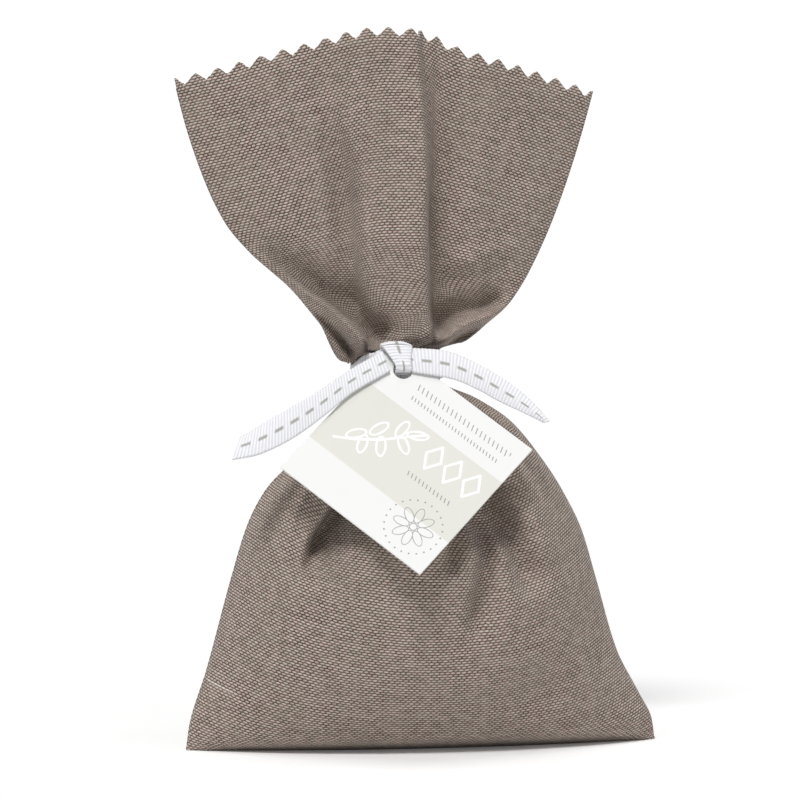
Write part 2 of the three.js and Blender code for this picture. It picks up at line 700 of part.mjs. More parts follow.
// The card leans out from its hole just far enough to clear the pouch's front under it
function restingLean() {
  const hole = new THREE.Vector3(HOLE_X, HOLE_Y, HOLE_Z);
  const up = new THREE.Vector3(0, 0, 1);
  const middle = new THREE.Vector2(-TAG_HOLE_SIDESTEP, TAG_HOLE_FROM_CORNER - HALF_DIAGONAL);
  middle.rotateAround(new THREE.Vector2(), roll);
  let angle = 0;
  for (const share of BELLY_ROW_SHARES) {
    for (let i = 0; i <= COLUMNS; i += 1) {
      const place = wallPoint(-1, (2 * i) / COLUMNS - 1, share * NECK_LOW);
      place.sub(hole).applyAxisAngle(up, -yaw);
      const down = Math.hypot(place.y, place.z);
      const isCovered = Math.abs(place.x - middle.x) + Math.abs(down + middle.y) < HALF_DIAGONAL;
      if (isCovered && place.z < 0) {
        const room = Math.asin((TAG_THICKNESS / 2 + CLEARANCE) / down);
        angle = Math.max(angle, Math.atan2(-place.y, -place.z) + room);
      }
    }
  }
  return angle;
}

const lean = restingLean();

// Layers of the tie in front of and behind the card
const TAIL_LAYER = TAG_THICKNESS / 2 + CLEARANCE + RIBBON_THICKNESS / 2;
const LOOP_FRONT = TAIL_LAYER + RIBBON_THICKNESS / 2 + CLEARANCE + LOOP_THICKNESS / 2;
const LOOP_BACK = -(TAG_THICKNESS / 2 + CLEARANCE + LOOP_THICKNESS / 2);
const CORNER_REACH = Math.hypot(TAG_HOLE_FROM_CORNER, TAG_HOLE_SIDESTEP);
const LOOP_TOP = CORNER_REACH + CLEARANCE + LOOP_THICKNESS / 2;
const HINGE_RISE = LOOP_TOP - LOOP_THICKNESS;
const HINGE_LAYER = (LOOP_FRONT + LOOP_BACK) / 2;
const HINGE_RADIUS = (LOOP_FRONT - LOOP_BACK + LOOP_THICKNESS) / 2;

// The ribbon's loop: down in front of the card's corner, through the hole and up behind. Its top is
// flattened, and its lowest point lies below the hole's middle by a share of the hole's radius.
const LOOP_TOP_FLATNESS_SHARE = 0.5;
const LOOP_LOW_SHARE = 0.2;
const LOOP_BEND_STEPS = 6;
function tagLoop() {
  const radius = (LOOP_FRONT - LOOP_BACK) / 2;
  const low = radius - TAG_HOLE_RADIUS * LOOP_LOW_SHARE;
  const crown = radius * LOOP_TOP_FLATNESS_SHARE;
  const stations = [];
  for (let i = 0; i <= LOOP_BEND_STEPS; i += 1) {
    const angle = (Math.PI * i) / LOOP_BEND_STEPS;
    const rise = LOOP_TOP - crown + Math.sin(angle) * crown;
    stations.push([HINGE_LAYER + radius * Math.cos(angle), rise, angle]);
  }
  for (let i = 0; i <= LOOP_BEND_STEPS; i += 1) {
    const angle = Math.PI + (Math.PI * i) / LOOP_BEND_STEPS;
    stations.push([HINGE_LAYER + radius * Math.cos(angle), low + radius * Math.sin(angle), angle]);
  }
  const sections = stations.map(([layer, rise, angle]) => {
    const share = Math.min(Math.max(rise / LOOP_TOP, 0), 1);
    const centre = mix(0, LOOP_LEAN, share);
    const half = mix(LOOP_HOLE_WIDTH, LOOP_TOP_WIDTH, share) / 2;
    const dx = (Math.cos(angle) * LOOP_THICKNESS) / 2;
    const dz = (Math.sin(angle) * LOOP_THICKNESS) / 2;
    return [
      new THREE.Vector3(centre - half, -(layer + dx), rise + dz),
      new THREE.Vector3(centre + half, -(layer + dx), rise + dz),
      new THREE.Vector3(centre + half, -(layer - dx), rise - dz),
      new THREE.Vector3(centre - half, -(layer - dx), rise - dz),
    ];
  });
  return named('ribbon_tag_loop', loftGeometry(sections, true), finish(WHITE, 0.7));
}

// A tail's middle line in the tie's plane, as shares of its length from the root
const LEFT_TAIL_SHARES = [[0, 0], [-0.2, -0.125], [-0.4, -0.285], [-0.61, -0.44], [-0.85, -0.565]];
const RIGHT_TAIL_SHARES = [[0, 0], [0.17, -0.035], [0.36, -0.13], [0.55, -0.25], [0.78, -0.44]];
const TAIL_STEPS = 10;
const TAIL_END_STEPS = 8;

function ribbonTail(name, side, length, shares) {
  const points = shares.map(([u, v]) => new THREE.Vector3(u * length, v * length, 0));
  const line = new THREE.CatmullRomCurve3(points);
  const half = RIBBON_WIDTH / 2;
  const left = [];
  const right = [];
  for (let i = 0; i <= TAIL_STEPS; i += 1) {
    const at = line.getPoint(i / TAIL_STEPS);
    const way = line.getTangent(i / TAIL_STEPS);
    const slant = i === TAIL_STEPS ? TAIL_TIP_SLANT * side : 0;
    left.push(new THREE.Vector2(at.x - way.y * half + way.x * slant, at.y + way.x * half + way.y * slant));
    right.push(new THREE.Vector2(at.x + way.y * half, at.y - way.x * half));
  }
  const start = line.getTangent(0);
  const back = Math.atan2(start.y, start.x) - Math.PI / 2;
  const round = [];
  for (let i = 1; i < TAIL_END_STEPS; i += 1) {
    const angle = back - (Math.PI * i) / TAIL_END_STEPS;
    round.push(new THREE.Vector2(half * Math.cos(angle), half * Math.sin(angle)));
  }
  const shape = new THREE.Shape([...right.reverse(), ...round, ...left]);
  const geometry = new THREE.ExtrudeGeometry(shape, { depth: RIBBON_THICKNESS, bevelEnabled: false });
  geometry.translate(0, 0, -RIBBON_THICKNESS / 2);
  geometry.rotateX(Math.PI / 2);
  const tail = named(name, geometry, finish(WHITE, 0.7));
  tail.position.set(side * TAIL_ROOT_REACH, -TAIL_LAYER, TAIL_ROOT_RISE);
  return tail;
}

// The square card, with its hole near the top corner
function tagCard() {
  const half = TAG_SIDE / 2;
  const shape = new THREE.Shape([
    new THREE.Vector2(-half, -half), new THREE.Vector2(half, -half),
    new THREE.Vector2(half, half), new THREE.Vector2(-half, half),
  ]);
  const fromMiddle = new THREE.Vector2(TAG_HOLE_SIDESTEP, HALF_DIAGONAL - TAG_HOLE_FROM_CORNER);
  const hole = fromMiddle.clone().rotateAround(new THREE.Vector2(), -Math.PI / 4);
  const edge = new THREE.Path();
  edge.absarc(hole.x, hole.y, TAG_HOLE_RADIUS, 0, 2 * Math.PI, true);
  shape.holes.push(edge);
  const settings = { depth: TAG_THICKNESS, bevelEnabled: false, curveSegments: 20 };
  const geometry = new THREE.ExtrudeGeometry(shape, settings);
  geometry.translate(-hole.x, -hole.y, -TAG_THICKNESS / 2);
  geometry.rotateZ(Math.PI / 4 + roll);
  geometry.rotateX(Math.PI / 2);
  return named('tag_card', geometry, finish(PAPER_WHITE, 0.6));
}

// The knot sits between the neck band and the loop, hollowed to clear both
function ribbonKnot(tie) {
  const half = KNOT_WIDTH / 2;
  const tall = KNOT_HEIGHT / 2;
  const corner = KNOT_CORNER;
  const shape = new THREE.Shape();
  shape.absarc(half - corner, -tall + corner, corner, -Math.PI / 2, 0);
  shape.absarc(half - corner, tall - corner, corner, 0, Math.PI / 2);
  shape.absarc(-half + corner, tall - corner, corner, Math.PI / 2, Math.PI);
  shape.absarc(-half + corner, -tall + corner, corner, Math.PI, 1.5 * Math.PI);
  const settings = { depth: NECK_DEPTH, bevelEnabled: false, curveSegments: 5 };
  const block = new THREE.ExtrudeGeometry(shape, settings);
  block.rotateX(Math.PI / 2);
  block.translate(HOLE_X + LOOP_LEAN, 0, BELLY_HEIGHT);
  const offset = 2 * CLEARANCE + BAND_THICKNESS;
  const core = new THREE.CylinderGeometry(1, 1, 1, BAND_STEPS);
  core.rotateX(Math.PI / 2);
  core.scale(NECK_WIDTH / 2 + offset, NECK_DEPTH / 2 + offset, BELLY_HEIGHT);
  core.translate(NECK_OFFSET, 0, BELLY_HEIGHT);
  const room = HINGE_RADIUS + CLEARANCE;
  const front = new THREE.BoxGeometry(BASE_WIDTH, NECK_DEPTH, BASE_WIDTH);
  front.translate(0, -(LOOP_BACK - LOOP_THICKNESS / 2 - CLEARANCE) - NECK_DEPTH / 2, 0);
  const pivot = new THREE.CylinderGeometry(room, room, BASE_WIDTH, BAND_STEPS);
  pivot.rotateZ(Math.PI / 2);
  pivot.translate(0, -HINGE_LAYER, HINGE_RISE);
  tie.updateMatrixWorld(true);
  front.applyMatrix4(tie.matrixWorld);
  pivot.applyMatrix4(tie.matrixWorld);
  const cutters = [core, front, pivot].map(solidFrom);
  const solid = cutters.reduce((rest, cutter) => rest.subtract(cutter), solidFrom(block));
  return named('ribbon_knot', geometryFrom(frontPiece(solid)), finish(WHITE, 0.7));
}

// The largest piece that a cut leaves
function frontPiece(solid) {
  const pieces = solid.decompose();
  return pieces.reduce((best, piece) => (piece.volume() > best.volume() ? piece : best));
}

const sachet = new THREE.Group();

const pouch = new THREE.Group();
pouch.add(clothPanel('front_panel', -1));
pouch.add(clothPanel('back_panel', 1));
pouch.add(sideSeam('side_seam_left', -1));
pouch.add(sideSeam('side_seam_right', 1));
pouch.add(baseSeam());
pouch.add(innerBag());
pouch.add(scentedFill());
pouch.add(neckBand());
sachet.add(pouch);

const tie = new THREE.Group();
tie.position.set(HOLE_X, HOLE_Y, HOLE_Z);
tie.rotation.set(-lean, 0, yaw, 'ZYX');
tie.add(tagLoop());
tie.add(ribbonTail('ribbon_tail_left', -1, LEFT_TAIL_LENGTH, LEFT_TAIL_SHARES));
tie.add(ribbonTail('ribbon_tail_right', 1, RIGHT_TAIL_LENGTH, RIGHT_TAIL_SHARES));
tie.add(tagCard());
sachet.add(tie);
pouch.add(ribbonKnot(tie));

export default sachet;
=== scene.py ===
"""Looks of the scented sachet: a cloth pouch gathered by a ribbon, with a card tag on its loop.

Shapes are worked out in millimetres and built in metres. The front faces -Y and +Z is up.
"""

import json
import logging
import math
from collections.abc import Sequence
from dataclasses import dataclass
from enum import Enum

import bmesh
import bpy
import numpy as np
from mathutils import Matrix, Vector

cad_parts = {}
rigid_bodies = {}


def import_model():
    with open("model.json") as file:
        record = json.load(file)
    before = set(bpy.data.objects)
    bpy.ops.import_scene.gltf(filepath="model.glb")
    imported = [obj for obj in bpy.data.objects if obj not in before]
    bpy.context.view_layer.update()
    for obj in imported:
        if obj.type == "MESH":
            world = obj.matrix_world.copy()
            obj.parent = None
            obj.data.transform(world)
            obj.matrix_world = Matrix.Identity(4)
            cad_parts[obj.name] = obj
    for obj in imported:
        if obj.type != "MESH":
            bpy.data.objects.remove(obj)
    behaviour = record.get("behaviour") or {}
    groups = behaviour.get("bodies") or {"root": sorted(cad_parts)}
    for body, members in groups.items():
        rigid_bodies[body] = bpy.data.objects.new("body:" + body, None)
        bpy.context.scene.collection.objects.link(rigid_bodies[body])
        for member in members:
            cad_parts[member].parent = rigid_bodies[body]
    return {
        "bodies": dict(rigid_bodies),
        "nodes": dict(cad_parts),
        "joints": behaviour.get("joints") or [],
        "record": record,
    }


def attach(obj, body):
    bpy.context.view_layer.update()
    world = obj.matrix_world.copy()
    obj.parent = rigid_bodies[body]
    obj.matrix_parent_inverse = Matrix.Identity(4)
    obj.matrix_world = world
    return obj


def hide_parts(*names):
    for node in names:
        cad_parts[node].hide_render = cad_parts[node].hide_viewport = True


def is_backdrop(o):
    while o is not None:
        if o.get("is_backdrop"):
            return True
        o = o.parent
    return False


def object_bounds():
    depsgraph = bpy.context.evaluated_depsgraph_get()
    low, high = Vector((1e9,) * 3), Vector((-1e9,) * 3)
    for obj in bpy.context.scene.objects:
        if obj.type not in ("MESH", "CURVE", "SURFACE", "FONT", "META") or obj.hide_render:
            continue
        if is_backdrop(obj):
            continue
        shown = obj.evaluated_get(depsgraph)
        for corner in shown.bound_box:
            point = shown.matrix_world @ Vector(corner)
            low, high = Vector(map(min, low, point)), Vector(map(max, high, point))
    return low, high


LOG = logging.getLogger("sachet")
MM = 0.001
SWALLOW_REACH = 0.55
TIE_REACH = (-14.5, 2.5)
TAG_OUT = (-0.099403, -0.872447, 0.478492)

Values = float | np.ndarray
Curve = tuple[tuple[float, float], ...]
Socket = bpy.types.NodeSocket
Input = float | Sequence[float] | Socket
Colour = tuple[float, float, float]


# Curves and meshes


def curve_through(points: Sequence[tuple[float, float]], at: Values) -> np.ndarray:
    """Follows a smooth curve that never overshoots the points it goes through.

    Args:
        points: Pairs of a place and its value, sorted by place.
        at: Places to read.

    Returns:
        The values at those places.
    """
    x, y = np.array(points, float).T
    at = np.clip(np.asarray(at, float), x[0], x[-1])
    slope = np.diff(y) / np.diff(x)
    product = slope[:-1] * slope[1:]
    total = slope[:-1] + slope[1:]
    inner = np.where(product > 0, 2 * product / np.where(total == 0, 1, total), 0)
    tangent = np.concatenate([slope[:1], inner, slope[-1:]])
    i = np.clip(np.searchsorted(x, at, side="right") - 1, 0, len(x) - 2)
    span = x[i + 1] - x[i]
    t = (at - x[i]) / span
    rise = t * t * (3 - 2 * t)
    start = t * (1 - t) ** 2 * tangent[i] * span
    end = t * t * (t - 1) * tangent[i + 1] * span
    return y[i] + (y[i + 1] - y[i]) * rise + start + end


def smooth_step(low: float, high: float, value: Values) -> Values:
    """Rises smoothly from 0 at low to 1 at high."""
    t = np.clip((value - low) / (high - low), 0, 1)
    return t * t * (3 - 2 * t)


def mix(a: Values, b: Values, share: Values) -> Values:
    """Goes from a to b as share goes from 0 to 1."""
    return a + (b - a) * share


def blurred(rows: np.ndarray, times: int) -> np.ndarray:
    """Evens out a net of values from row to row and from column to column.

    Args:
        rows: The net.
        times: How often it is evened out.

    Returns:
        The evened net.
    """
    for _ in range(times):
        wide = np.pad(rows, [(1, 1), (1, 1)] + [(0, 0)] * (rows.ndim - 2), "edge")
        rows = (wide[:-2, 1:-1] + wide[2:, 1:-1] + wide[1:-1, :-2] + wide[1:-1, 2:] + 2 * wide[1:-1, 1:-1]) / 6
    return rows


def net_normals(net: np.ndarray) -> np.ndarray:
    """Finds the unit normals of a net of points, across columns first and then up its rows.

    Args:
        net: Rows of points.

    Returns:
        One normal for each point.
    """
    across = np.gradient(net, axis=1)
    up = np.gradient(net, axis=0)
    normal = np.cross(across, up)
    length = np.linalg.norm(normal, axis=2, keepdims=True)
    return normal / np.maximum(length, 1e-9)


def arc_length(net: np.ndarray, axis: int) -> np.ndarray:
    """Measures the way along each row or column of a net of points, from 0.

    Args:
        net: Rows of points.
        axis: 0 to measure along the columns and 1 along the rows.

    Returns:
        The way to each point.
    """
    steps = np.linalg.norm(np.diff(net, axis=axis), axis=2)
    pad = [(1, 0), (0, 0)] if axis == 0 else [(0, 0), (1, 0)]
    return np.pad(np.cumsum(steps, axis=axis), pad)


def spline(points: Sequence[Sequence[float]], count: int) -> np.ndarray:
    """Follows a smooth line through points in evenly spaced steps.

    Args:
        points: Places that the line goes through.
        count: How many places to return.

    Returns:
        The places, evenly spaced along the line.
    """
    knots = np.array(points, float)
    pad = np.vstack([2 * knots[0] - knots[1], knots, 2 * knots[-1] - knots[-2]])
    fine = []
    for i in range(len(knots) - 1):
        a, b, c, d = pad[i : i + 4]
        t = np.linspace(0, 1, 24, endpoint=False)[:, None]
        fine.append(
            0.5 * (2 * b + (c - a) * t + (2 * a - 5 * b + 4 * c - d) * t**2 + (3 * b - a - 3 * c + d) * t**3)
        )
    line = np.vstack([*fine, knots[-1:]])
    way = np.concatenate([[0], np.cumsum(np.linalg.norm(np.diff(line, axis=0), axis=1))])
    even = np.linspace(0, way[-1], count)
    return np.stack([np.interp(even, way, line[:, k]) for k in range(line.shape[1])], axis=1)


def link_mesh(name: str, bm: bmesh.types.BMesh, smooth: bool = True) -> bpy.types.Object:
    """Turns a finished bmesh into an object in the scene.

    Args:
        name: The object's name.
        bm: The mesh, in metres. It is freed.
        smooth: Whether its faces are shaded smooth.

    Returns:
        The new object.
    """
    mesh = bpy.data.meshes.new(name)
    bm.to_mesh(mesh)
    bm.free()
    mesh.polygons.foreach_set("use_smooth", [smooth] * len(mesh.polygons))
    piece = bpy.data.objects.new(name, mesh)
    bpy.context.scene.collection.objects.link(piece)
    return piece


def lay_uv(piece: bpy.types.Object, places: np.ndarray) -> None:
    """Gives each vertex its place on the flat material.

    Args:
        piece: The piece.
        places: One place for each vertex, in millimetres.
    """
    mesh = piece.data
    index = np.empty(len(mesh.loops), np.int32)
    mesh.loops.foreach_get("vertex_index", index)
    layer = mesh.uv_layers.new(name="flat")
    layer.data.foreach_set("uv", places[index].astype(np.float32).ravel())


def sheet_mesh(
    name: str, outer: np.ndarray, inner: np.ndarray, uv: np.ndarray, flipped: bool
) -> bpy.types.Object:
    """Builds a closed sheet between an outer and an inner net of points.

    Args:
        name: The object's name.
        outer: Places on the outside, as rows of points in millimetres.
        inner: Places on the inside, in the same order.
        uv: Places on the flat cloth, in the same order.
        flipped: Whether the outside faces the other way.

    Returns:
        The new object.
    """
    rows, columns = outer.shape[:2]
    bm = bmesh.new()
    for _ in range(2):
        bmesh.ops.create_grid(bm, x_segments=columns - 1, y_segments=rows - 1, size=1)
    places = np.vstack([outer.reshape(-1, 3), inner.reshape(-1, 3)]) * MM
    for vertex, place in zip(bm.verts, places.tolist()):
        vertex.co = place
    count = (rows - 1) * (columns - 1)
    faces = list(bm.faces)
    turned = faces[:count] if flipped else faces[count:]
    bmesh.ops.reverse_faces(bm, faces=turned)
    rims = [edge for edge in bm.edges if edge.is_boundary]
    bmesh.ops.bridge_loops(bm, edges=rims)
    bmesh.ops.recalc_face_normals(bm, faces=list(bm.faces))
    piece = link_mesh(name, bm)
    flat = uv.reshape(-1, 2)
    lay_uv(piece, np.vstack([flat, flat]))
    return piece


def tube_mesh(name: str, line: np.ndarray, radius: float, sides: int = 8) -> bpy.types.Object:
    """Builds a round thread along a line.

    Args:
        name: The object's name.
        line: Places on its middle, in millimetres.
        radius: Radius of the thread, in millimetres.
        sides: How many sides its section has.

    Returns:
        The new object.
    """
    way = np.gradient(line, axis=0)
    way /= np.linalg.norm(way, axis=1, keepdims=True)
    side = np.cross(way, (0.31, 0.87, 0.39))
    side /= np.linalg.norm(side, axis=1, keepdims=True)
    up = np.cross(side, way)
    turn = np.linspace(0, 2 * math.pi, sides, endpoint=False)
    cosine, sine = np.cos(turn)[None, :, None], np.sin(turn)[None, :, None]
    rings = line[:, None] + radius * (cosine * side[:, None] + sine * up[:, None])
    bm = bmesh.new()
    loops = []
    for ring in rings:
        made = bmesh.ops.create_circle(bm, cap_ends=False, segments=sides, radius=1)["verts"]
        for vertex, place in zip(made, (ring * MM).tolist()):
            vertex.co = place
        loops.append(made)
    for first, second in zip(loops, loops[1:]):
        edges = {edge for vertex in first + second for edge in vertex.link_edges if edge.is_wire or edge.is_boundary}
        inside = set(first + second)
        bmesh.ops.bridge_loops(bm, edges=[edge for edge in edges if set(edge.verts) <= inside])
    ends = [edge for edge in bm.edges if edge.is_boundary]
    bmesh.ops.holes_fill(bm, edges=ends, sides=sides)
    bmesh.ops.recalc_face_normals(bm, faces=list(bm.faces))
    return link_mesh(name, bm)


# The pouch


@dataclass(frozen=True)
class Fold:
    """A ridge or a valley that the cloth makes along a line.

    Attributes:
        path: Places (x, z) along the line from the bottom up, in millimetres.
        rise: Height of the ridge in millimetres, below zero for a valley.
        left: How far it reaches on the left of the line, in millimetres.
        right: How far it reaches on the right, in millimetres.
        fade: Lengths at both ends over which it grows and dies, in millimetres.
        tuck: How strongly it takes up spare cloth.
    """

    path: tuple[tuple[float, float], ...]
    rise: float
    left: float
    right: float
    fade: tuple[float, float] = (6.0, 6.0)
    tuck: float = 0.0

    def profile(self, x: np.ndarray, z: np.ndarray, tie: float) -> tuple[np.ndarray, np.ndarray]:
        """Gives the shares of the fold's height and of its spare cloth at each place.

        The spare cloth goes in along a narrow line, which runs on to the tie.

        Args:
            x: Places across the panel, in millimetres.
            z: Heights, in millimetres.
            tie: Height of the tie, in millimetres.

        Returns:
            Both shares from 0 to 1, in the same shape.
        """
        line = spline(self.path, 6 * len(self.path))
        total = float(np.linalg.norm(np.diff(line, axis=0), axis=1).sum())
        rising = abs(line[0, 1] - tie) < abs(line[-1, 1] - tie)
        near = line[0] if rising else line[-1]
        end = np.array([[min(max(near[0], TIE_REACH[0]), TIE_REACH[1]), tie]])
        line = np.vstack([end, line] if rising else [line, end])
        best = np.full(np.shape(x), np.inf)
        side = np.zeros(np.shape(x))
        along = np.zeros(np.shape(x))
        start = -float(np.linalg.norm(end[0] - near)) if rising else 0.0
        for (ax, az), (bx, bz) in zip(line, line[1:]):
            dx, dz = bx - ax, bz - az
            length = math.hypot(dx, dz)
            t = np.clip(((x - ax) * dx + (z - az) * dz) / length**2, 0, 1)
            gap = np.hypot(x - ax - t * dx, z - az - t * dz)
            nearer = gap < best
            best = np.where(nearer, gap, best)
            side = np.where(nearer, dx * (z - az) - dz * (x - ax), side)
            along = np.where(nearer, start + t * length, along)
            start += length
        reach = np.where(side > 0, self.left, self.right)
        first = smooth_step(0, self.fade[0], along)
        last = smooth_step(0, self.fade[1], total - along)
        swallowed = np.exp(-((best / SWALLOW_REACH) ** 2)) * (last if rising else first)
        return np.exp(-((best / reach) ** 2)) * first * last, swallowed


class Side(Enum):
    """A panel's side of the pouch, with the sign of its depth along Y."""

    FRONT = -1
    BACK = 1


FRONT_BELLY_FOLDS = (
    Fold(
        (
            (-31, 38), (-29.4, 43), (-28.2, 46.4), (-26.6, 50), (-24.4, 53.2), (-21.2, 57.5),
            (-15.8, 65), (-11.5, 73),
        ),
        -5.6, 2.0, 4.6, (9, 8), 1.0,
    ),
    Fold(((-24, 36), (-21.8, 45), (-18.8, 52), (-13.5, 61)), 1.5, 3.0, 5.0, (9, 8)),
    Fold(((-41, 42), (-37, 52), (-30, 62), (-21, 72)), 1.6, 4.0, 4.2, (9, 8)),
    Fold(((1.0, 41), (1.4, 47.4), (1.9, 51), (0.8, 60), (-2.5, 74)), -3.2, 1.6, 2.6, (6, 8), 0.7),
    Fold(
        ((6.8, 24), (7.6, 32), (8.9, 38.5), (10.2, 45), (9.6, 50), (6.8, 57), (3.4, 66), (-1, 78)),
        -5.6, 2.6, 3.8, (13, 8), 1.0,
    ),
    Fold(
        ((21, 35), (19.4, 41), (17.6, 45), (15.4, 50.5), (12.8, 56), (8.5, 66), (3, 78)),
        -5.4, 2.4, 4.6, (8, 8), 1.0,
    ),
    Fold(((13.5, 44), (12.2, 52), (8.5, 62), (3.5, 76)), -5.2, 5.8, 5.6, (11, 8)),
    Fold(((-29.5, 45), (-27.2, 49.5), (-24.8, 53.5), (-21, 59), (-16, 66)), -5.0, 1.7, 3.8, (6, 8)),
    Fold(((-19, 49), (-16, 58), (-11, 70)), -2.2, 6.0, 6.0, (10, 8)),
    Fold(((14.2, 40), (13.4, 46), (11.8, 52), (9.2, 58), (5.5, 68)), 1.9, 2.0, 2.2, (8, 8)),
    Fold(((25.5, 40), (23.0, 48), (19.4, 56), (13, 66), (8, 74)), 1.8, 3.2, 5.0, (9, 8)),
    Fold(((-8, 58), (-9, 68), (-9, 80)), -2.6, 2.4, 2.4, (8, 6), 0.8),
    Fold(((7, 19), (18, 23.5), (34, 23.5)), 1.0, 6.0, 6.0, (10, 12)),
    Fold(((10, 11), (24, 14), (38, 17)), -0.6, 5.0, 5.0, (10, 10)),
)

FRONT_FLARE_FOLDS = (
    Fold(
        (
            (-11.0, 92.0), (-13.6, 96.0), (-17.4, 100.0), (-21.8, 103.6), (-27.2, 107.0),
            (-33.5, 111.6), (-42, 118.4),
        ),
        -5.8, 1.3, 4.2, (2, 18), 1.0,
    ),
    Fold(
        (
            (-13.4, 91.2), (-15.9, 94.4), (-18.9, 97.7), (-22.5, 101.0), (-26.6, 104.3),
            (-31.4, 108.0), (-36.4, 111.8), (-44, 117.4),
        ),
        5.2, 1.9, 1.7, (5, 20),
    ),
    Fold(
        ((-16.2, 89.8), (-18.3, 93.1), (-21.2, 97.1), (-24.8, 100.5), (-28.6, 103.4)),
        -5.0, 1.2, 1.1, (2, 7), 0.6,
    ),
    Fold(
        ((-15.4, 98), (-16.1, 105.8), (-17.4, 120.2), (-18.4, 133.0), (-20.8, 142), (-22.5, 150)),
        -4.8, 4.2, 1.4, (5, 26), 0.9,
    ),
    Fold(
        ((0.4, 94.0), (-1.3, 105.8), (-2.6, 120.2), (-1.9, 130.1), (-1.5, 141.6), (-2.2, 166.5)),
        2.2, 5.0, 1.1, (2, 34),
    ),
    Fold(
        ((2.9, 95.0), (1.6, 105.8), (1.0, 120.2), (1.5, 130.2), (1.8, 141.6), (1.0, 166.0)),
        -3.6, 1.2, 5.4, (3, 34), 1.0,
    ),
    Fold(((-15.2, 99.6), (-11.6, 99.0), (-7.8, 95.2)), -2.6, 2.0, 2.2, (4, 3), 0.5),
    Fold(((-6.6, 92), (-6.0, 99), (-5.5, 108)), 0.9, 2.6, 2.6, (3, 8)),
    Fold(
        ((1.8, 92.8), (4.6, 95.9), (7.9, 98.0), (13.4, 99.7), (19.1, 101.8), (22.2, 105.2), (24.5, 110)),
        5.2, 1.3, 1.5, (2, 8),
    ),
    Fold(((1.6, 96.6), (5.0, 99.0), (9.6, 101.2), (15.6, 103.1), (20.0, 106)), -3.6, 4.2, 1.2, (3, 6), 0.7),
    Fold(((4.2, 91.8), (8.7, 94.7), (14.8, 97.8)), -4.4, 1.2, 1.3, (2, 5), 0.5),
    Fold(((0.6, 106.0), (7.7, 109.2), (22.5, 113.6)), -1.3, 2.0, 2.4, (5, 7)),
    Fold(((4, 110.2), (12, 113.4), (24, 117.4)), 1.0, 2.8, 3.2, (6, 8)),
)

BACK_FOLDS = (
    Fold(((-30, 38), (-26, 50), (-18, 63), (-12, 76)), -4.4, 3.2, 3.6, (10, 8), 1.0),
    Fold(((-14, 44), (-13, 56), (-10, 68), (-8, 79)), -3.6, 2.8, 3.0, (10, 8), 0.9),
    Fold(((4, 36), (3, 48), (0, 62), (-3, 77)), -4.8, 3.2, 3.0, (11, 8), 1.0),
    Fold(((25, 42), (20, 54), (12, 66), (3, 78)), -4.2, 3.2, 3.8, (10, 8), 1.0),
    Fold(((-14, 96), (-20, 108), (-29, 124), (-36, 142)), -2.6, 3.4, 4.2, (5, 18), 0.8),
    Fold(((-6, 96), (-6, 112), (-8, 132), (-9, 150)), -3.0, 3.2, 3.6, (5, 18), 1.0),
    Fold(((2, 96), (7, 108), (13, 124), (18, 140)), -2.8, 3.4, 3.6, (5, 18), 0.9),
    Fold(((-10, 96), (-13, 112), (-19, 132)), 1.6, 2.6, 2.6, (5, 14)),
)


